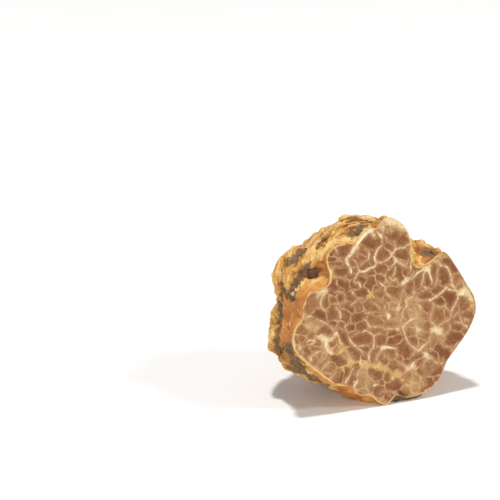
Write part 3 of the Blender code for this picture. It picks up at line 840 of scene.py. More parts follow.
    bloom: tuple[Stroke, ...] = Stroke.rows(
        (1, 0.75, 425, 269), (0.9, 0.9, 402, 283, 406, 280), (1, 0.8, 408, 278),
        (1.2, 0.85, 459, 292, 466, 292), (0.9, 0.8, 464, 288, 470, 298), (1.2, 1, 433, 329, 439, 330.5),
        (1.2, 0.85, 425, 354, 429, 357), (0.9, 0.8, 397, 328), (0.8, 0.9, 388, 315), (0.9, 0.8, 397, 309),
        (1.1, 1, 321, 337, 326, 339), (0.7, 0.9, 326, 343, 328, 349), (0.5, 0.6, 307, 341, 314, 340),
        (0.8, 0.8, 335, 333), (0.8, 0.9, 331, 352.5), (0.9, 0.9, 383, 347), (1.1, 0.9, 407, 368, 411, 366),
        (1.1, 0.9, 356, 246, 353, 251), (0.8, 0.9, 371, 230, 373, 234), (1.3, 0.8, 384, 228, 386, 222),
        (1, 1.1, 387, 219, 396, 221, 403, 226), (0.7, 0.9, 403, 226, 408, 231, 411, 238),
        (0.8, 0.7, 399, 262, 405, 266), (1, 0.9, 396, 260), (0.9, 0.9, 330, 271),
        (1.1, 0.8, 319, 294, 325, 290), (1.2, 0.7, 418, 329), (0.9, 0.7, 310, 358), (0.8, 0.7, 374, 385),
        (0.8, 0.8, 355, 382), (0.8, 0.6, 429.5, 300), (0.7, 0.7, 445, 288), (0.8, 0.7, 391, 253),
        (0.9, 0.6, 437, 261, 440, 266), (0.9, 0.6, 298, 345, 299, 350), (0.9, 0.6, 364, 361, 360, 363),
        (0.9, 0.6, 466, 326), (0.8, 0.6, 443, 361), (0.8, 0.6, 416, 298),
    )
    dusk: tuple[Stroke, ...] = Stroke.rows(
        (0.7, 0.9, 320, 316), (1.6, 0.6, 336, 284, 342, 288), (1.4, 0.5, 334, 256, 340, 268),
        (1.3, 0.45, 444, 296, 450, 300), (1.2, 0.45, 365, 283, 370, 287), (1, 0.4, 430, 276, 427, 280),
        (1.4, 0.4, 366, 240, 372, 246), (1.4, 0.4, 440, 352, 446, 356), (1, 0.4, 432, 376, 436, 384),
        # The strokes from here on, along the bottom of the face by the floor, are painted shade.
        (1.3, 0.6, 378, 400, 386, 402), (1, 0.7, 391, 396, 399, 394, 406, 395),
        (0.8, 0.5, 395, 386, 399, 391),
    )
    lip: tuple[Stroke, ...] = Stroke.rows(
        (1, 0.3, 293, 324, 292, 334, 293.5, 348, 298, 358, 306, 366, 317, 374, 328, 383, 340, 390),
        (1, 0.25, 326, 262, 329, 272, 330, 280),
    )
    worn: tuple[Stroke, ...] = Stroke.rows(
        (1.3, 1, 440, 250, 449, 261, 461, 277, 472, 295, 475, 312, 469, 330, 458, 346, 449, 358, 447, 370,
         440, 385, 428, 396, 412, 399, 400, 394),
    )
    pit: tuple[Stroke, ...] = Stroke.rows(
        # The last stroke, in the dent at the bottom of the face, is painted shade.
        (0.2, 1, 302.8, 321.5), (0.14, 0.7, 365.5, 293.5), (0.14, 0.7, 359, 295), (0.14, 0.6, 406, 309),
        (0.12, 0.42, 303, 322, 308, 327, 313, 330), (0.8, 0.7, 399, 392, 403, 396, 404, 400),
    )
    islands: tuple[Stroke, ...] = Stroke.rows(
        (2, 0.35, 349, 246, 342, 250, 338, 255), (1.2, 0.4, 333, 250, 331, 254),
        (1.2, 0.3, 329, 259, 334, 258, 340, 257), (1, 0.25, 330, 264, 336, 265, 343, 264.5),
        (3.2, 0.3, 368, 242, 375, 243), (1.6, 0.35, 384, 241, 389, 246), (2.4, 0.45, 383, 253),
        (2.6, 0.35, 391, 238, 400, 238, 404, 238), (1.2, 0.8, 389, 229), (1, 0.9, 397, 226),
        (2.2, 0.2, 400, 252, 405, 253), (0.8, 0.8, 402, 263), (0.8, 0.4, 407, 262), (1.6, 0.3, 388, 262),
        (2, 0.4, 379, 268, 385, 269), (1.6, 0.6, 361, 247, 363, 253),
        (0.92, 0.3, 371, 250, 371.5, 256, 372, 262), (2, 0.35, 356, 257, 361, 258),
        (1.4, 0.6, 351, 258, 353, 264), (1.12, 0.2, 361, 266, 367, 263), (1.2, 0.4, 354, 269),
        (1.6, 0.5, 371, 272), (0.88, 0.3, 361.5, 273), (1.6, 0.3, 336, 272, 344, 271),
        (1.8, 0.15, 389, 272), (1.2, 0.2, 398, 268, 399, 279), (1.2, 0.4, 405.5, 271.5),
        (1.2, 0.2, 414, 268), (1, 0.35, 408, 248), (2, 0.3, 419, 276, 416, 284),
        (1.28, 0.25, 427, 276, 429, 284), (1.2, 0.35, 433, 267, 434, 275), (1.8, 0.2, 442, 269, 443, 280),
        (1, 0.4, 437, 282), (1, 0.2, 446, 262, 450, 266, 454, 271), (1.2, 0.6, 455, 276, 456, 282),
        (0.8, 0.8, 447, 286, 453, 287), (0.52, 0.3, 459, 286.5), (1.2, 0.25, 432, 289, 440, 289),
        (1.8, 0.2, 411, 284, 409, 292), (1.2, 0.3, 419, 290), (1.6, 0.3, 420, 296, 427, 293),
        (0.6, 0.5, 416.5, 296), (2.4, 0.1, 448, 295, 450, 302), (1.4, 0.1, 435, 301, 443, 301),
        (1.8, 0.5, 463, 300, 464, 308), (1.6, 0.35, 466, 312, 467, 318), (1, 0.4, 456, 308, 454, 314),
        (1.12, 0.35, 446, 312), (2.2, 0.65, 438, 311, 438, 318), (2, 0.5, 411, 302, 415, 306),
        (2, 0.5, 421, 304, 427, 308), (1.8, 0.55, 407, 314, 412, 314), (0.72, 0.2, 407, 309),
        (1.8, 0.6, 424, 316), (1.12, 0.35, 456, 318), (1.6, 0.3, 454, 324, 457, 329), (1.2, 0.4, 466, 319),
        (1, 0.5, 463, 331), (2, 0.2, 449, 338, 457, 334), (1.52, 0.7, 445, 327),
        (2.4, 0.35, 393, 291, 396, 296), (1.4, 0.6, 394, 283), (1.6, 0.5, 387, 299),
        (0.8, 0.4, 404, 293, 403, 302), (1.2, 0.5, 392, 304), (1.52, 0.45, 392, 315, 397, 313),
        (1.8, 0.7, 388, 323, 396, 322), (1, 0.6, 403, 321), (1.4, 0.6, 412, 323),
        (1.8, 0.4, 420, 323, 426, 326), (1.6, 0.6, 412, 331), (1.6, 0.45, 420, 334, 425, 336),
        (1.6, 0.35, 414, 340), (1.4, 0.35, 421, 341), (1.2, 0.3, 389, 334, 393, 332),
        (1.8, 0.2, 389, 341, 397, 340), (2.4, 0.3, 402, 346, 406, 352), (2, 0.4, 389, 354),
        (1, 0.5, 399, 358), (1.52, 0.2, 393, 364), (1, 0.6, 402, 368), (1.28, 0.4, 407, 362),
        (1.2, 0.15, 417, 354, 413, 359), (1.2, 0.3, 426, 345, 425, 350), (1.8, 0.8, 435, 336, 431, 343),
        (1.8, 0.2, 438, 347, 443, 351, 444, 356), (1, 0.3, 434, 354, 434, 360), (1.2, 0.5, 419, 362),
        (2.6, 0.3, 425, 371, 433, 369), (2, 0.2, 427, 380, 425, 386), (1.2, 0.6, 436, 378),
        (1.4, 0.5, 408, 373, 407, 379), (0.88, 0.5, 416, 379), (1.4, 0.3, 386, 378),
        (1.8, 0.35, 390, 385, 397, 384), (1.6, 0.6, 405, 390), (1.2, 0.8, 415, 387), (1.4, 0.4, 388, 395),
        (1.8, 0.4, 371, 279, 370, 285), (1.6, 0.3, 379, 277), (1.6, 0.15, 361, 279),
        (1.2, 0.25, 352, 284, 357, 288), (1.6, 0.25, 358, 290, 363, 292), (1, 0.3, 374, 287),
        (1.6, 0.5, 379, 294), (1.8, 0.5, 368, 302, 375, 308), (1, 0.3, 365, 299), (1.6, 0.5, 384, 303),
        (1, 0.5, 376, 313), (1.6, 0.6, 372, 319, 380, 322), (1, 0.5, 384, 318),
        (1.2, 0.5, 375, 330, 385, 331), (1.6, 0.15, 333, 281, 333, 291), (1.8, 0.3, 340, 281, 345, 286),
        (1.4, 0.35, 350, 274), (0.8, 0.4, 341, 289), (1.6, 0.3, 350, 296), (1.2, 0.35, 340, 297),
        (1.6, 0.5, 331, 300), (1.4, 0.5, 326, 299, 326, 306), (1.6, 0.5, 346, 305, 350, 308),
        (1.6, 0.6, 358, 307), (2, 0.5, 331, 308, 331, 316), (1.6, 0.15, 317, 314, 322, 317),
        (2, 0.75, 313, 300, 309, 307), (1.6, 0.85, 309, 321, 317, 324), (1.4, 0.5, 320, 329, 328, 330),
        (1.6, 0.6, 301, 330, 307, 331), (1.2, 0.2, 332, 322), (1.6, 0.4, 345, 313, 347, 318),
        (1.4, 0.4, 353, 319, 361, 316), (1, 0.4, 342, 325), (1.6, 0.25, 351, 328), (1.8, 0.3, 360, 326),
        (1.2, 0.6, 309, 334), (1.6, 0.5, 300, 339), (0.8, 0.4, 305, 342), (1.2, 0.6, 317, 344),
        (1, 0.5, 331, 338, 331, 344), (1, 0.6, 336, 350), (1.4, 0.15, 342, 334, 345, 341),
        (1.28, 0.3, 352, 333), (1.92, 0.3, 355, 341, 362, 338, 368, 338), (1, 0.2, 371.5, 344.5),
        (1.8, 0.4, 379, 338, 384, 341), (0.8, 0.6, 311, 348.5, 318, 348), (1.6, 0.3, 352, 351, 356, 355),
        (1, 0.1, 366, 349), (1.12, 0.3, 364, 355), (1.2, 0.5, 374, 351, 373, 358),
        (1.6, 0.25, 382, 355, 385, 358), (1.8, 0.25, 333, 358, 340, 361, 342, 358),
        (1.4, 0.5, 307, 350, 304, 357), (1, 0.6, 298, 349, 300, 355), (0.88, 0.6, 317, 356, 314, 361),
        (1.2, 0.5, 324, 358, 322, 364), (1.4, 0.5, 331, 364, 327, 371), (1, 0.6, 325, 373, 329, 376),
        (1.4, 0.45, 340, 372, 336, 380), (0.8, 0.2, 346, 370, 345, 376), (1.2, 0.35, 353, 374, 349, 382),
        (1, 0.3, 356, 367, 354, 372), (1.6, 0.75, 362, 374, 361, 384), (1.6, 0.4, 370, 373, 378, 376),
        (1.2, 0.3, 369, 382, 370, 387), (1, 0.4, 381, 381), (1.8, 0.4, 379, 390), (1.2, 0.5, 363, 391),
    )

    def pale_veins(self) -> tuple[Stroke, ...]:
        """All veins but the golden ones."""
        return self.crown + self.upper + self.right_lobe + self.middle + self.left + self.lower

    def nearest(self, veins: Iterable[Stroke], seen_at: np.ndarray) -> tuple[np.ndarray, np.ndarray]:
        """The veins' edges and tones over the face.

        Args:
            veins: the veins.
            seen_at: the picture places of the face's points.

        Returns:
            How far outside the nearest vein each point is, in millimetres, and that vein's tone.
        """
        count = len(seen_at)
        best, weight = np.full(count, self.reach), np.full(count, self.least_weight)
        toned, merged = np.zeros(count), np.zeros(count)
        reach = self.reach * self.pixels_per_mm
        for vein in veins:
            path = vein.path(self.curve_steps)
            near = np.all((seen_at > path.min(0) - reach) & (seen_at < path.max(0) + reach), axis=1)
            if not near.any():
                continue
            gap, along = gap_to_path(seen_at[near], path)
            taper = self.knot_share
            if len(path) > 1:
                length = np.linalg.norm(np.diff(path, axis=0), axis=1).sum()
                ends = smooth_step(np.minimum(along, length - along) / (self.tip_length * self.pixels_per_mm))
                taper = self.tip_share + (1 - self.tip_share) * ends
            edge = gap / self.pixels_per_mm - vein.width / 2 * taper
            best[near] = np.minimum(best[near], edge)
            merged[near] += np.exp(-edge / self.merge)
            pull = np.exp(-np.clip(edge, -self.tone_depth, None) / self.tone_reach)
            weight[near] += pull
            toned[near] += pull * vein.strength
        joined = -self.merge * np.log(np.maximum(merged, self.least_merged))
        return np.where(best < self.reach, np.minimum(best, joined), self.reach), toned / weight

    def net(self, seen_at: np.ndarray) -> tuple[np.ndarray, np.ndarray, np.ndarray]:
        """The thin veins between neighbouring islands of darker flesh.

        Args:
            seen_at: the picture places of the face's points.

        Returns:
            How far each point is outside its nearest island and from the line between its two nearest, in
            millimetres, and how pale its nearest island is, from 0 to 1.
        """
        first = np.full(len(seen_at), 2 * self.reach)
        second, shade = first.copy(), np.full(len(seen_at), 0.5)
        for island in self.islands:
            gap = gap_to_path(seen_at, island.path())[0] / self.pixels_per_mm - island.width / 2
            nearer = gap < first
            second = np.where(nearer, first, np.minimum(second, gap))
            first = np.where(nearer, gap, first)
            shade[nearer] = island.strength
        return first, (second - first) / 2, shade

    def cover(self, patches: Iterable[Stroke], seen_at: np.ndarray) -> np.ndarray:
        """How fully soft patches cover points of the face, from 0 to 1, by the points' picture places."""
        return soft_cover(patches, seen_at, self.pixels_per_mm)


class Wire:
    """A number that varies over a surface. Arithmetic on it adds Math nodes to its material."""

    def __init__(self, sketch: "MaterialSketch", socket: bpy.types.NodeSocket) -> None:
        """Wraps a socket, a node's output, in the material that a sketch holds."""
        self.sketch = sketch
        self.socket = socket

    def math(self, operation: str, *terms: "Term") -> "Wire":
        """The result of one Math node on terms."""
        return self.sketch.node("ShaderNodeMath", {"operation": operation}, dict(enumerate(terms)))

    def __add__(self, other: "Term") -> "Wire":
        """self + other."""
        return self.math("ADD", self, other)

    def __radd__(self, other: "Term") -> "Wire":
        """other + self."""
        return self.math("ADD", other, self)

    def __sub__(self, other: "Term") -> "Wire":
        """self - other."""
        return self.math("SUBTRACT", self, other)

    def __rsub__(self, other: "Term") -> "Wire":
        """other - self."""
        return self.math("SUBTRACT", other, self)

    def __mul__(self, other: "Term") -> "Wire":
        """self * other."""
        return self.math("MULTIPLY", self, other)

    def __rmul__(self, other: "Term") -> "Wire":
        """other * self."""
        return self.math("MULTIPLY", other, self)

    def absolute(self) -> "Wire":
        """self without its sign."""
        return self.math("ABSOLUTE", self)

    def larger(self, other: "Term") -> "Wire":
        """The larger of self and other."""
        return self.math("MAXIMUM", self, other)

    def step(self, low: float, high: float) -> "Wire":
        """0 at low, 1 at high, and an even curve between; high may be below low."""
        inputs = {"Value": self, "From Min": low, "From Max": high}
        return self.sketch.node("ShaderNodeMapRange", {"interpolation_type": "SMOOTHSTEP"}, inputs)


Term = Union[Wire, float]


@dataclass(frozen=True)
class Onset:
    """How a colour or pattern comes in: the level where it starts, where it is full, and its share then."""

    start: float
    full: float
    share: float = 1.0

    def at(self, level: Wire) -> Wire:
        """The share for a level, from 0 where it starts."""
        rising = level.step(self.start, self.full)
        return rising if self.share == 1 else rising * self.share


def linear(colour: Colour) -> tuple[float, float, float, float]:
    """Turns a colour into the linear light that shaders use.

    Args:
        colour: the colour as the eye reads it, 0 to 255.

    Returns:
        Its red, green, blue and alpha.
    """
    shares = (channel / 255 for channel in colour)
    light = (s / 12.92 if s <= 0.04045 else ((s + 0.055) / 1.055) ** 2.4 for s in shares)
    return (*light, 1.0)


class MaterialSketch:
    """A material under construction."""

    def __init__(self, name: str) -> None:
        """Starts a material with an empty Principled shader.

        Args:
            name: the material's name.
        """
        self.material = bpy.data.materials.new(name)
        self.material.use_nodes = True
        self.tree = self.material.node_tree
        self.shader = self.tree.nodes["Principled BSDF"]

    def node(self, kind: str, settings: dict[str, Any], inputs: dict[Any, Any], output: Any = 0) -> Wire:
        """Adds a node.

        Args:
            kind: the node's type.
            settings: its properties, which are set first.
            inputs: the values or links of its sockets, by name or number.
            output: the name or number of the output that is wanted.

        Returns:
            That output.
        """
        made = self.tree.nodes.new(kind)
        for name, value in settings.items():
            setattr(made, name, value)
        for key, value in inputs.items():
            self.feed(made.inputs[key], value)
        return Wire(self, made.outputs[output])

    def feed(self, socket: bpy.types.NodeSocket, value: Any) -> None:
        """Feeds a socket.

        Args:
            socket: the socket.
            value: a wire, which is linked to it, or its own value.
        """
        if isinstance(value, Wire):
            self.tree.links.new(value.socket, socket)
        else:
            socket.default_value = value

    def mix(self, first: Any, second: Any, share: Term) -> Wire:
        """Mixes two colours.

        Args:
            first: the colour where the share is 0, as a colour triple or a wire.
            second: the colour where the share is 1.
            share: how much of the second is in the mix.

        Returns:
            The mixed colour.
        """
        settings = {"data_type": "RGBA", "blend_type": "MIX"}
        ends = [linear(end) if isinstance(end, tuple) else end for end in (first, second)]
        return self.node("ShaderNodeMix", settings, {0: share, 6: ends[0], 7: ends[1]}, 2)

    def attribute(self, name: str) -> Wire:
        """A number that the mesh carries at its points."""
        return self.node("ShaderNodeAttribute", {"attribute_name": name}, {}, "Fac")

    def millimetres(self) -> Wire:
        """The place on the object, in millimetres."""
        place = self.node("ShaderNodeTexCoord", {}, {}, "Object")
        return self.node("ShaderNodeVectorMath", {"operation": "SCALE"}, {0: place, "Scale": 1 / MM})

    def noise(self, place: Wire, size: float, detail: float = 2.0, rough: float = 0.5) -> Wire:
        """Smooth unevenness around 0.5 with bumps of a size in millimetres."""
        inputs = {"Vector": place, "Scale": 1 / size, "Detail": detail, "Roughness": rough}
        return self.node("ShaderNodeTexNoise", {}, inputs, "Fac")

    def warped(self, place: Wire, size: float, amount: float) -> Wire:
        """Shifts a place unevenly.

        Args:
            place: the place, in millimetres.
            size: the size of the larger bumps.
            amount: about how far it is shifted at most.

        Returns:
            The shifted place.
        """
        inputs = {"Vector": place, "Scale": 1 / size, "Detail": 2.0}
        shift = self.node("ShaderNodeTexNoise", {}, inputs, "Color")
        centred = self.node("ShaderNodeVectorMath", {"operation": "SUBTRACT"}, {0: shift, 1: (0.5, 0.5, 0.5)})
        scaled = self.node("ShaderNodeVectorMath", {"operation": "SCALE"}, {0: centred, "Scale": 2 * amount})
        return self.node("ShaderNodeVectorMath", {"operation": "ADD"}, {0: place, 1: scaled})

    def dress(self, colour: Wire, roughness: Term, height: Term, bump: float, **constants: float) -> None:
        """Connects the shader.

        Args:
            colour: the surface's colour.
            roughness: its roughness.
            height: the fine relief, from 0 to 1.
            bump: what a height of 1 stands for, in metres.
            constants: other sockets of the shader, by name with _ for a space.
        """
        self.feed(self.shader.inputs["Base Color"], colour)
        self.feed(self.shader.inputs["Roughness"], roughness)
        normal = self.node("ShaderNodeBump", {}, {"Height": height, "Distance": bump, "Strength": 1.0})
        self.feed(self.shader.inputs["Normal"], normal)
        for name, value in constants.items():
            self.shader.inputs[name.replace("_", " ")].default_value = value


@dataclass(frozen=True)
class FleshFinish:
    """The cut: pinkish brown flesh, cream and white veins and a thin pale line at the skin.

    Sizes are in millimetres and the bump in metres. The levels of the onsets run from about 0 to 1, or are
    millimetres from an edge, and they and the weights in the material are given one by one.
    """

    dark: Colour = (128, 77, 47)
    warm: Colour = (147, 97, 61)
    light: Colour = (165, 117, 75)
    hazy: Colour = (194, 160, 112)
    dusky: Colour = (112, 58, 36)
    cream: Colour = (211, 173, 124)
    pale: Colour = (228, 198, 150)
    white: Colour = (246, 230, 198)
    bloom: Colour = (236, 214, 172)
    gold: Colour = (226, 184, 108)
    rim: Colour = (232, 192, 126)
    worn_rim: Colour = (132, 98, 54)
    pit: Colour = (60, 34, 20)
    warm_from: Onset = Onset(0.0, 0.4)
    light_from: Onset = Onset(0.3, 0.7)
    hazy_from: Onset = Onset(0.1, 0.9, 0.85)
    dusky_share: float = 0.6
    net_edge: Onset = Onset(0.30, -0.04)
    net_breaks: Onset = Onset(0.25, 1.05)
    net_spread: Onset = Onset(0.1, 0.7)
    net_by_vein: Onset = Onset(0.05, 0.45, 0.75)
    vein_edge: Onset = Onset(0.11, -0.16)
    vein_breaks: Onset = Onset(0.0, 1.1)
    vein_glow: Onset = Onset(0.75, 0.0)
    pale_from: Onset = Onset(0.55, 1.0)
    white_from: Onset = Onset(0.95, 1.3)
    bloom_from: Onset = Onset(0.45, 1.15, 0.85)
    gold_edge: Onset = Onset(0.8, -0.2)
    gold_breaks: Onset = Onset(0.1, 0.9)
    gold_crumbs: Onset = Onset(0.3, 0.7, 0.5)
    worn_from: Onset = Onset(0.3, 0.8)
    worn_share: float = 0.9
    rim_edge: Onset = Onset(0.38, 0.0, 0.8)
    crumbly_from: Onset = Onset(0.45, 0.6, 0.45)
    specks_from: Onset = Onset(0.6, 0.7)
    pit_from: Onset = Onset(0.3, 0.8, 0.9)
    grain_size: float = 0.22
    fine_size: float = 0.5
    middling_size: float = 1.4
    vein_break_size: float = 1.1
    speck_size: float = 0.42
    roughness: float = 0.6
    vein_roughness: float = 0.1
    specular: float = 0.2
    bump: float = 0.06 * MM

    def material(self) -> bpy.types.Material:
        """Makes the material.

        Returns:
            The material.
        """
        sketch = MaterialSketch(Slot.FLESH.value)
        place = sketch.millimetres()
        grain = sketch.noise(place, self.grain_size, 2.0, 0.6)
        fine = sketch.noise(place, self.fine_size, 3.0, 0.6)
        middling = sketch.noise(place, self.middling_size, 3.0)
        mottle = (fine - 0.5) * 0.7 + (grain - 0.5) * 0.5
        shade = (middling - 0.5) * 0.8 + mottle * 1.3 + sketch.attribute("island") * 0.7
        islands = sketch.mix(self.dark, self.warm, self.warm_from.at(shade))
        islands = sketch.mix(islands, self.light, self.light_from.at(shade))
        haze = sketch.attribute("haze") * (0.4 + middling * 1.2)
        islands = sketch.mix(islands, self.hazy, self.hazy_from.at(haze + mottle * 0.5))
        # dusk darkens the flesh: its own darker patches, and painted shade along the bottom of the face.
        dusk = sketch.attribute("dusk") * self.dusky_share
        islands = sketch.mix(islands, self.dusky, dusk)

        along = sketch.noise(place, self.vein_break_size, 2.0, 0.6)
        edge = sketch.attribute("vein_edge") + mottle * 0.2
        net_edge = sketch.attribute("net_edge") + mottle * 0.34
        between = self.net_edge.at(net_edge) * self.net_breaks.at(along * 1.6 + mottle * 0.5)
        spread = self.net_spread.at(sketch.attribute("open_gap") + mottle * 0.5) * (0.75 + mottle * 1.2)
        net = (between * 0.85).larger(spread * 0.75) * (self.net_by_vein.at(edge) + 0.25)
        tone = sketch.attribute("vein_tone")
        whiteness = tone + (along - 0.5) * 1.6 + mottle * 0.6
        vein = self.vein_edge.at(edge) * self.vein_breaks.at(whiteness)
        glow = self.vein_glow.at(edge) * (0.27 + mottle * 0.45)
        colour = sketch.mix(islands, self.cream, net.larger(glow))
        pale = sketch.mix(self.cream, self.pale, self.pale_from.at(whiteness))
        pale = sketch.mix(pale, self.white, self.white_from.at(whiteness))
        colour = sketch.mix(colour, pale, vein)
        bloom = sketch.attribute("bloom") + mottle * 0.7 + (along - 0.5) * 0.8 + net * 0.2
        colour = sketch.mix(colour, self.bloom, self.bloom_from.at(bloom))
        golden = self.gold_edge.at(sketch.attribute("gold_edge") + mottle * 0.9)
        crumbs = self.gold_crumbs.at(fine * 1.2 + grain * 0.6 - 0.4) + 0.5
        yellow = golden * sketch.attribute("gold_tone") * self.gold_breaks.at(along * 2.0 - 0.3)
        yellow = yellow * crumbs * (net.larger(vein) * 1.1 + 0.35)
        colour = sketch.mix(colour, self.gold, yellow * 1.1)
        rim_gap = sketch.attribute("rim_gap") + (middling - 0.5) * 1.1 + mottle * 0.8
        worn = self.worn_from.at(sketch.attribute("worn") + mottle * 0.9)
        rim = sketch.mix(self.rim, self.worn_rim, worn * self.worn_share)
        colour = sketch.mix(colour, rim, self.rim_edge.at(rim_gap))
        crumbly = self.crumbly_from.at(middling) + dusk + yellow * 0.5
        specks = self.specks_from.at(sketch.noise(place, self.speck_size, 1.0)) * crumbly
        colour = sketch.mix(colour, self.dusky, specks)
        # pit paints the pits dark, and the dent at the bottom of the face as painted shade.
        colour = sketch.mix(colour, self.pit, self.pit_from.at(sketch.attribute("pit")))
        height = fine * 0.4 + grain * 0.3 + middling * 0.8 + vein * 0.5 + net * 0.3
        roughness = self.roughness + vein * self.vein_roughness
        sketch.dress(colour, roughness, height, self.bump, Specular_IOR_Level=self.specular)
        return sketch.material


@dataclass(frozen=True)
class SkinFinish:
    """The skin: golden and orange, with pale crests, brown creases, grey-brown earth and painted shade.

    Sizes are in millimetres and the bump in metres. The levels of the onsets run from about 0 to 1, or are
    millimetres from an edge, and they and the weights in the material are given one by one.
    """

    gold: Colour = (211, 153, 77)
    pale: Colour = (240, 204, 134)
    orange: Colour = (199, 123, 57)
    red: Colour = (168, 84, 44)
    brown: Colour = (122, 76, 38)
    # deep is painted shade, for the bottoms of furrows and hollows.
    deep: Colour = (70, 46, 30)
    earth: Colour = (146, 117, 88)
    dark_earth: Colour = (96, 73, 52)
    coarse_crest: Onset = Onset(0.0, 0.09)
    thin_crest: Onset = Onset(-0.03, 0.08)
    crack_edge: Onset = Onset(0.045, 0.005)
    crack_patches: Onset = Onset(0.48, 0.6)
    crack_share: float = 0.5
    pore_edge: Onset = Onset(0.2, 0.08)
    pore_patches: Onset = Onset(0.46, 0.58)
    tinge_from: Onset = Onset(0.9, 1.25, 0.7)
    orange_from: Onset = Onset(0.3, 0.8)
    red_from: Onset = Onset(0.6, 1.1, 0.75)
    gold_from: Onset = Onset(0.3, 0.7, 0.8)
    pale_from: Onset = Onset(0.5, 0.85, 0.8)
    # Painted shade: brown at a low tone (partly the creases' own colour), then brown and deep brown where
    # sunk.
    brown_below: Onset = Onset(0.5, 0.15, 0.95)
    brown_shade_sunk: Onset = Onset(0.3, 0.7, 0.6)
    deep_shade_sunk: Onset = Onset(0.6, 0.95, 0.7)
    earth_tone: Onset = Onset(-0.2, 0.8)
    earth_stain: Onset = Onset(0.2, 0.5, 0.6)
    earth_from: Onset = Onset(0.38, 0.7)
    crest_from: Onset = Onset(0.35, 0.75, 0.9)
    strand_length: float = 5.0
    strand_width: float = 0.8
    strand_sway: float = 0.8
    thin_strand: float = 0.45
    crack_size: float = 2.6
    crack_winding: tuple[float, float] = (1.3, 1.1)
    crack_patch_size: float = 2.4
    pore_size: float = 1.1
    pore_winding: tuple[float, float] = (0.6, 0.3)
    pore_patch_size: float = 3.7
    grain_size: float = 0.22
    fine_size: float = 0.5
    middling_size: float = 1.8
    broad_size: float = 7.0
    roughness: float = 0.62
    earth_roughness: float = 0.25
    specular: float = 0.25
    bump: float = 0.16 * MM

    def strands(self, sketch: MaterialSketch, sway: Wire) -> Wire:
        """The fine strands that the fibrous skin is drawn out into.

        Args:
            sketch: the material.
            sway: unevenness around 0 that bends them.

        Returns:
            0 in the lines between strands, rising to 1 on their crests.
        """
        across = (sketch.attribute("across") + sway * self.strand_sway) * (1 / self.strand_width)
        along = sketch.attribute("along") * (1 / self.strand_length)
        stretched = sketch.node("ShaderNodeCombineXYZ", {}, {0: along, 1: across})
        coarse = self.coarse_crest.at((sketch.noise(stretched, 1.0, 1.0) - 0.5).absolute())
        thin = self.thin_crest.at((sketch.noise(stretched, self.thin_strand, 1.0) - 0.5).absolute())
        return coarse * thin

    def cracks(self, sketch: MaterialSketch, place: Wire) -> Wire:
        """Fine winding cracks and pores.

        Args:
            sketch: the material.
            place: the place on the object, in millimetres.

        Returns:
            1 in the cracks and pores and 0 beside them.
        """
        edges = {"Vector": sketch.warped(place, *self.crack_winding), "Scale": 1 / self.crack_size}
        crack = sketch.node("ShaderNodeTexVoronoi", {"feature": "DISTANCE_TO_EDGE"}, edges, "Distance")
        dots = {"Vector": sketch.warped(place, *self.pore_winding), "Scale": 1 / self.pore_size}
        pore = sketch.node("ShaderNodeTexVoronoi", {"feature": "F1"}, dots, "Distance")
        some = self.crack_patches.at(sketch.noise(place, self.crack_patch_size, 2.0))
        few = self.pore_patches.at(sketch.noise(place, self.pore_patch_size, 2.0))
        return (self.crack_edge.at(crack) * some).larger(self.pore_edge.at(pore) * few)

    def material(self) -> bpy.types.Material:
        """Makes the material.

        Returns:
            The material.
        """
        sketch = MaterialSketch(Slot.SKIN.value)
        place = sketch.millimetres()
        grain = sketch.noise(place, self.grain_size, 2.0, 0.6)
        fine = sketch.noise(place, self.fine_size, 3.0, 0.6)
        middling = sketch.noise(place, self.middling_size, 3.0, 0.6)
        broad = sketch.noise(place, self.broad_size, 2.0)
        mottle = (fine - 0.5) * 0.8 + (grain - 0.5) * 0.6
        orange = sketch.attribute("orange")
        fibrous = sketch.attribute("fibrous")
        strands = self.strands(sketch, middling - 0.5)
        strands = (strands - 0.6) * fibrous + 0.6
        cracks = self.cracks(sketch, place) * (1 - fibrous) * (1 - orange * 0.6)
        tone = sketch.attribute("tone") * 0.6 + strands * 0.4 + mottle * 0.35
        patch = (middling - 0.5) * 0.8 + mottle * 0.4

        colour = sketch.mix(self.gold, self.orange, self.tinge_from.at(broad * 1.2 + middling * 0.8))
        colour = sketch.mix(colour, self.orange, self.orange_from.at(orange * 0.85 + patch * 1.3))
        colour = sketch.mix(colour, self.red, self.red_from.at(orange * middling * 1.6 + mottle * 0.6))
        colour = sketch.mix(colour, self.gold, self.gold_from.at(sketch.attribute("gold") + patch))
        # A high tone paints crests pale and a low one creases brown: partly own colour, partly painted
        # highlight and shade.
        bright = tone + patch * 0.7 + (broad - 0.5) * 0.6
        colour = sketch.mix(colour, self.pale, self.pale_from.at(bright))
        colour = sketch.mix(colour, self.brown, self.brown_below.at(tone - fibrous * 0.1))
        colour = sketch.mix(colour, self.brown, cracks * self.crack_share)
        # Where the skin is sunk in furrows and hollows it is painted in shade, first brown and then deep
        # brown.
        sunk = sketch.attribute("sunk") + patch * 0.6 - tone * 0.3
        colour = sketch.mix(colour, self.brown, self.brown_shade_sunk.at(sunk))
        colour = sketch.mix(colour, self.deep, self.deep_shade_sunk.at(sunk))
        soil = sketch.mix(self.dark_earth, self.earth, self.earth_tone.at(mottle * 2.2 + middling * 0.6))
        earth = sketch.attribute("earth") + patch * 0.9 + (grain - 0.5) * 0.5 - (tone - 0.5) * 0.3
        covered = self.earth_from.at(earth)
        colour = sketch.mix(colour, self.brown, self.earth_stain.at(earth))
        colour = sketch.mix(colour, soil, covered)
        crest = sketch.attribute("pale") + mottle * 0.5 + (strands - 0.6) * 0.3
        colour = sketch.mix(colour, self.pale, self.crest_from.at(crest))
        height = fine * 0.4 + grain * 0.3 + middling * 0.4 + strands * 0.6 - cracks * 0.6
        roughness = self.roughness + covered * self.earth_roughness
        sketch.dress(colour, roughness, height, self.bump, Specular_IOR_Level=self.specular)
        return sketch.material


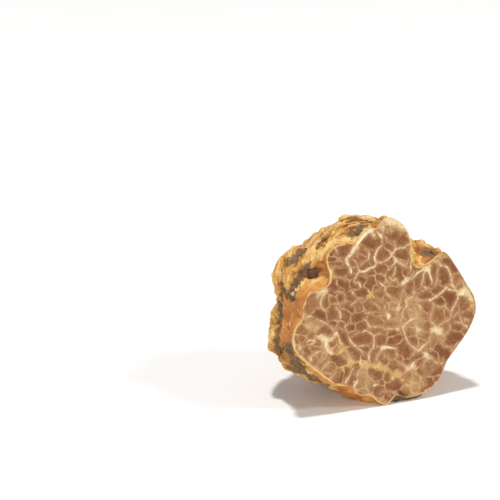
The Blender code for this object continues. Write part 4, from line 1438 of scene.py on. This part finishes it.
@dataclass(frozen=True)
class FloorFinish:
    """A plain pale floor, with a faint unevenness so that it isn't one flat colour."""

    light: Colour = (250, 249, 248)
    dark: Colour = (247, 246, 245)
    cloud_size: float = 60.0
    roughness: float = 0.8
    specular: float = 0.1
    bump: float = 0.01 * MM

    def material(self) -> bpy.types.Material:
        """Makes the material.

        Returns:
            The material.
        """
        sketch = MaterialSketch("floor")
        clouds = sketch.noise(sketch.millimetres(), self.cloud_size)
        colour = sketch.mix(self.light, self.dark, clouds)
        sketch.dress(colour, self.roughness, clouds, self.bump, Specular_IOR_Level=self.specular)
        return sketch.material


@dataclass(frozen=True)
class TruffleHalf:
    """The half truffle: one closed mesh of skin and cut face.

    Its soil and stains are the chance ones that lie where the camera doesn't see the skin. Its sheet fields
    say where the pieces of the unfolded surface lie on a flat sheet, in shares of the sheet's side.
    """

    form: HalfForm
    relief: SkinRelief
    paint: SkinPaint
    marbling: Marbling
    camera: PhotoCamera
    sides: int = 128
    on_rim: float = 1e-6
    soil: Unevenness = Unevenness(6 * MM, 71.3, 3)
    soil_contrast: float = 2.2
    soil_level: float = -0.5
    soil_in_furrows: float = 0.6
    soil_strength: float = 0.8
    stains: Unevenness = Unevenness(9 * MM, 33.9)
    stain_contrast: float = 2.4
    stain_level: float = -0.2
    stain_strength: float = 0.5
    clean_share: float = 0.6
    ridge_tone: float = 0.2
    swell: Unevenness = Unevenness(3.5 * MM, 4.4)
    swell_height: float = 0.10 * MM
    pit_depth: float = 0.20 * MM
    vein_rise: float = 0.04 * MM
    vein_side: float = 0.2
    rim_guard: float = 1.0
    sheet_margin: float = 0.01
    sheet_face: float = 0.54
    sheet_back: float = 0.42
    sheet_strip: float = 0.23
    sheet_pitch: float = 0.25
    sheet_fold: float = 0.57
    flat: float = 1e-4

    def ball(self) -> tuple[bpy.types.Mesh, np.ndarray]:
        """A ball of squares, evenly divided, whose middle edge loop becomes the rim.

        Returns:
            Its mesh, and the cube coordinates of its points, from -1 to 1.
        """
        grid = bmesh.new()
        bmesh.ops.create_cube(grid, size=2)
        bmesh.ops.subdivide_edges(grid, edges=grid.edges[:], cuts=self.sides - 1, use_grid_fill=True)
        bmesh.ops.recalc_face_normals(grid, faces=grid.faces[:])
        mesh = bpy.data.meshes.new(NODE)
        grid.to_mesh(mesh)
        grid.free()
        return mesh, self.read(mesh.vertices, "co")

    def read(self, items: Any, name: str, width: int = 3) -> np.ndarray:
        """Reads a property of all a mesh's points, edges or corners.

        Args:
            items: the points, edges or corners.
            name: the property.
            width: how many numbers each has.

        Returns:
            The numbers, one item in each row.
        """
        values = np.zeros(len(items) * width)
        items.foreach_get(name, values)
        return values.reshape(-1, width)

    def move(self, mesh: bpy.types.Mesh, points: np.ndarray) -> None:
        """Puts a mesh's points in new places."""
        mesh.vertices.foreach_set("co", points.astype(np.float32).ravel())
        mesh.update()

    def give(self, mesh: bpy.types.Mesh, layers: dict[str, np.ndarray], where: np.ndarray) -> None:
        """Gives a mesh's points numbers for its materials to read.

        Args:
            mesh: the mesh.
            layers: the numbers, by name.
            where: which points they are for; the others have 0.
        """
        for name, values in layers.items():
            everywhere = np.zeros(len(where), dtype=np.float32)
            everywhere[where] = values
            mesh.attributes.new(name, "FLOAT", "POINT").data.foreach_set("value", everywhere)

    def build(self) -> bpy.types.Object:
        """Makes the half, dressed and riding on the frame.

        Returns:
            The object.
        """
        mesh, cube = self.ball()
        directions = np.tan(cube * math.pi / 4)
        directions /= np.linalg.norm(directions, axis=1)[:, None]
        turns = np.arctan2(directions[:, 1], directions[:, 0]) / (2 * math.pi) % 1
        shares = np.abs(np.arcsin(np.clip(directions[:, 2], -1, 1))) / (math.pi / 2)
        skin = cube[:, 2] > -self.on_rim
        base = self.form.face_at(turns, shares)
        base[skin] = self.form.skin_at(turns[skin], shares[skin])
        self.move(mesh, base)
        self.raise_skin(mesh, base, skin)
        self.marble_face(mesh, base, ~skin)
        half = bpy.data.objects.new("truffle", mesh)
        bpy.context.scene.collection.objects.link(half)
        self.dress(mesh, cube)
        self.unfold(mesh, base, cube)
        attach(half, BODY)
        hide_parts(NODE)
        return half

    def raise_skin(self, mesh: bpy.types.Mesh, base: np.ndarray, skin: np.ndarray) -> None:
        """Raises the skin's relief and records what its colours need.

        Args:
            mesh: the half's mesh, on its form.
            base: all its points on the form.
            skin: which of them are on the skin.
        """
        points = base.copy()
        height, sunk, raised = self.relief.large(self.form, base[skin])
        points[skin] += self.read(mesh.vertices, "normal")[skin] * height[:, None]
        self.move(mesh, points)
        normals = self.read(mesh.vertices, "normal")[skin]
        layers = self.skin_layers(base[skin], points[skin], normals, sunk)
        height, tone = self.relief.fine(base[skin], layers)
        points[skin] += normals * height[:, None]
        for name in ("gold", "orange"):
            sunk = sunk * (1 - self.clean_share * layers[name])
        # Ridges get a higher tone: partly their paler colour, partly painted highlight.
        layers["tone"] = np.clip(tone + self.ridge_tone * raised, 0, 1)
        # sunk also takes the strokes of painted shade, so that the material darkens the skin there.
        layers["sunk"] = np.maximum(sunk, layers.pop("shaded_hollow"))
        placed = self.form.in_place(points)
        placed[:, 2] = np.maximum(placed[:, 2], 0)
        self.move(mesh, placed)
        self.give(mesh, layers, skin)

    def skin_layers(
        self, base: np.ndarray, points: np.ndarray, normals: np.ndarray, sunk: np.ndarray
    ) -> dict[str, np.ndarray]:
        """Lays colours on the skin: by picture place where the camera sees it, and by chance elsewhere.

        Args:
            base: the skin's points on the form.
            points: the same points with their large relief.
            normals: which way the skin faces there.
            sunk: from 0 to 1, how deep in a furrow they are.

        Returns:
            From 0 to 1, how much of each colour covers each point and how fibrous it is, and its places
            across and along the strands, in millimetres.
        """
        paint = self.paint
        placed = self.form.in_place(points)
        seen_at = self.camera.picture_of(placed)
        away = np.array(self.camera.stand()) - placed
        away /= np.linalg.norm(away, axis=1)[:, None]
        facing = np.einsum("ij,ij->i", normals @ self.form.axes(), away)
        seen = smooth_step((facing - paint.facing_from) / (paint.facing_full - paint.facing_from))
        across, along = paint.combed(seen_at)
        fibrous = paint.cover(paint.fibrous, seen_at) * smooth_step(facing / paint.combed_from)
        seen_at = paint.shifted(base, seen_at)
        layers = {"across": across, "along": along}
        for name in ("earth", "gold", "orange", "pale", "shaded_hollow"):
            layers[name] = paint.cover(getattr(paint, name), seen_at) * seen
        layers["fibrous"] = fibrous * (1 - self.clean_share * layers["orange"])
        soil = self.soil.at(base) * self.soil_contrast + self.soil_level + self.soil_in_furrows * sunk
        stains = self.stains.at(base) * self.stain_contrast + self.stain_level
        soil, stains = smooth_step(soil) * self.soil_strength, smooth_step(stains) * self.stain_strength
        for name, chance in (("earth", soil), ("orange", stains)):
            layers[name] = np.maximum(layers[name], chance * (1 - seen))
        return layers

    def marble_face(self, mesh: bpy.types.Mesh, base: np.ndarray, face: np.ndarray) -> None:
        """Lays the marbling on the cut face and gives it its slight relief.

        Args:
            mesh: the half's mesh, in place.
            base: all its points on the form.
            face: which of them are on the cut face, inside the rim.
        """
        marbling = self.marbling
        flat = base[face] * (1, 1, 0)
        seen_at = self.camera.picture_of(self.form.in_place(flat))
        sway = np.stack([part.at(flat) for part in marbling.sway], axis=1) * marbling.pixels_per_mm
        edge, tone = marbling.nearest(marbling.pale_veins(), seen_at + sway * marbling.vein_sway)
        gold_edge, gold_tone = marbling.nearest(marbling.golden, seen_at + sway * marbling.vein_sway)
        open_gap, net_edge, island = marbling.net(seen_at + sway * marbling.net_sway)
        rim_gap = np.array([np.hypot(*(self.form.rim - point[:2]).T).min() for point in flat]) / MM
        layers = {
            "vein_edge": edge,
            "vein_tone": tone,
            "gold_edge": gold_edge,
            "gold_tone": gold_tone,
            "rim_gap": rim_gap - marbling.cover(marbling.lip, seen_at),
            "net_edge": net_edge,
            "open_gap": open_gap,
            "island": island,
        }
        for name in ("haze", "dusk", "bloom", "worn", "pit"):
            layers[name] = marbling.cover(getattr(marbling, name), seen_at)
        rise = self.vein_rise * smooth_step(0.5 - edge / self.vein_side) - self.pit_depth * layers["pit"]
        rise += self.swell_height * self.swell.at(flat)
        rise *= smooth_step(rim_gap / self.rim_guard)
        points = self.read(mesh.vertices, "co")
        points[face] -= self.form.axes()[2] * rise[:, None]
        self.move(mesh, points)
        self.give(mesh, layers, face)

    def dress(self, mesh: bpy.types.Mesh, cube: np.ndarray) -> None:
        """Gives the skin and the cut face their materials and a sharp edge between them.

        Args:
            mesh: the half's mesh.
            cube: the cube coordinates of its points.
        """
        mesh.materials.append(SkinFinish().material())
        mesh.materials.append(FleshFinish().material())
        corners = self.read(mesh.loops, "vertex_index", 1).astype(int).reshape(-1, 4)
        on_face = cube[corners, 2].mean(axis=1) < 0
        mesh.polygons.foreach_set("material_index", on_face.astype(np.int32))
        mesh.shade_smooth()
        ends = self.read(mesh.edges, "vertices", 2).astype(int)
        on_rim = np.all(np.abs(cube[ends, 2]) < self.on_rim, axis=1)
        mesh.attributes.new("sharp_edge", "BOOLEAN", "EDGE").data.foreach_set("value", on_rim)
        mesh.update()

    def unfold(self, mesh: bpy.types.Mesh, base: np.ndarray, cube: np.ndarray) -> None:
        """Lays the surface out flat: the cut face in one piece, the back in one and the sides in four.

        Args:
            mesh: the half's mesh.
            base: all its points on the form.
            cube: the cube coordinates of its points.
        """
        corners = self.read(mesh.loops, "vertex_index", 1).astype(int).reshape(-1, 4)
        middles = cube[corners].mean(axis=1)
        on_face = middles[:, 2] < 0
        places = np.zeros((len(corners), 4, 2))
        face = base[corners[on_face]][..., :2]
        low, high = base[:, :2].min(axis=0), base[:, :2].max(axis=0)
        places[on_face] = self.sheet_margin + self.sheet_face * (face - low) / (high - low).max()
        back = ~on_face & (middles[:, 2] > 1 - self.flat)
        start = np.array([self.sheet_fold, self.sheet_margin])
        places[back] = start + self.sheet_back * (cube[corners[back]][..., :2] + 1) / 2
        for i, (axis, side) in enumerate(((0, 1), (0, -1), (1, 1), (1, -1))):
            strip = ~on_face & (middles[:, axis] * side > 1 - self.flat)
            along = self.sheet_fold + self.sheet_back * (cube[corners[strip]][..., 1 - axis] + 1) / 2
            up = self.sheet_margin + self.sheet_pitch * i + self.sheet_strip * cube[corners[strip]][..., 2]
            places[strip] = np.stack([up, along], axis=-1)
        layer = mesh.uv_layers.new(name="OFBake")
        layer.uv.foreach_set("vector", places.astype(np.float32).ravel())


@dataclass(frozen=True)
class Lamp:
    """A square soft light, with its size in metres and its power in watts."""

    name: str
    place: Point
    size: float
    power: float

    def build(self, aim: Point) -> bpy.types.Object:
        """Makes the lamp.

        Args:
            aim: what it points at.

        Returns:
            The lamp object.
        """
        data = bpy.data.lights.new(self.name, "AREA")
        data.size = self.size
        data.energy = self.power
        lamp = bpy.data.objects.new(self.name, data)
        lamp.location = self.place
        lamp.rotation_euler = (Vector(aim) - Vector(self.place)).to_track_quat("-Z", "Y").to_euler()
        bpy.context.scene.collection.objects.link(lamp)
        return lamp


@dataclass(frozen=True)
class Studio:
    """The floor, the soft lights and the pale surround."""

    floor_size: float = 4.0
    surround: float = 0.33
    surround_colour: tuple[float, float, float, float] = (1.0, 1.0, 1.0, 1.0)
    aim: Point = (0.0, 0.0, 15 * MM)
    lamps: tuple[Lamp, ...] = (
        Lamp("top_lamp", (-0.26, 0.01, 2.99), 0.30, 55.0),
        Lamp("right_lamp", (1.64, -1.71, 1.85), 0.50, 20.0),
        Lamp("front_lamp", (-1.53, -2.45, 0.83), 1.00, 32.0),
    )

    def floor(self) -> bpy.types.Object:
        """Makes the floor, which isn't part of the object.

        Returns:
            The floor object.
        """
        sheet = bmesh.new()
        bmesh.ops.create_grid(sheet, x_segments=2, y_segments=2, size=self.floor_size / 2)
        mesh = bpy.data.meshes.new("floor")
        sheet.to_mesh(mesh)
        sheet.free()
        mesh.materials.append(FloorFinish().material())
        floor = bpy.data.objects.new("floor", mesh)
        bpy.context.scene.collection.objects.link(floor)
        return floor

    def build(self) -> None:
        """Makes the floor, the lamps and the surround."""
        self.floor()
        for lamp in self.lamps:
            lamp.build(self.aim)
        world = bpy.data.worlds.new("surround")
        world.use_nodes = True
        inputs = world.node_tree.nodes["Background"].inputs
        inputs["Color"].default_value = self.surround_colour
        inputs["Strength"].default_value = self.surround
        bpy.context.scene.world = world
        bpy.context.scene.view_settings.view_transform = "Standard"


def main() -> None:
    """Builds the camera, the studio and the half."""
    logging.basicConfig(level=logging.INFO, format="%(name)s: %(message)s")
    camera = PhotoCamera()
    camera.build()
    Studio().build()
    half = TruffleHalf(HalfForm(), SkinRelief(), SkinPaint(), Marbling(), camera).build()
    LOG.info("%s: %d points, %d faces", half.name, len(half.data.vertices), len(half.data.polygons))


if __name__ == "__main__":
    main()
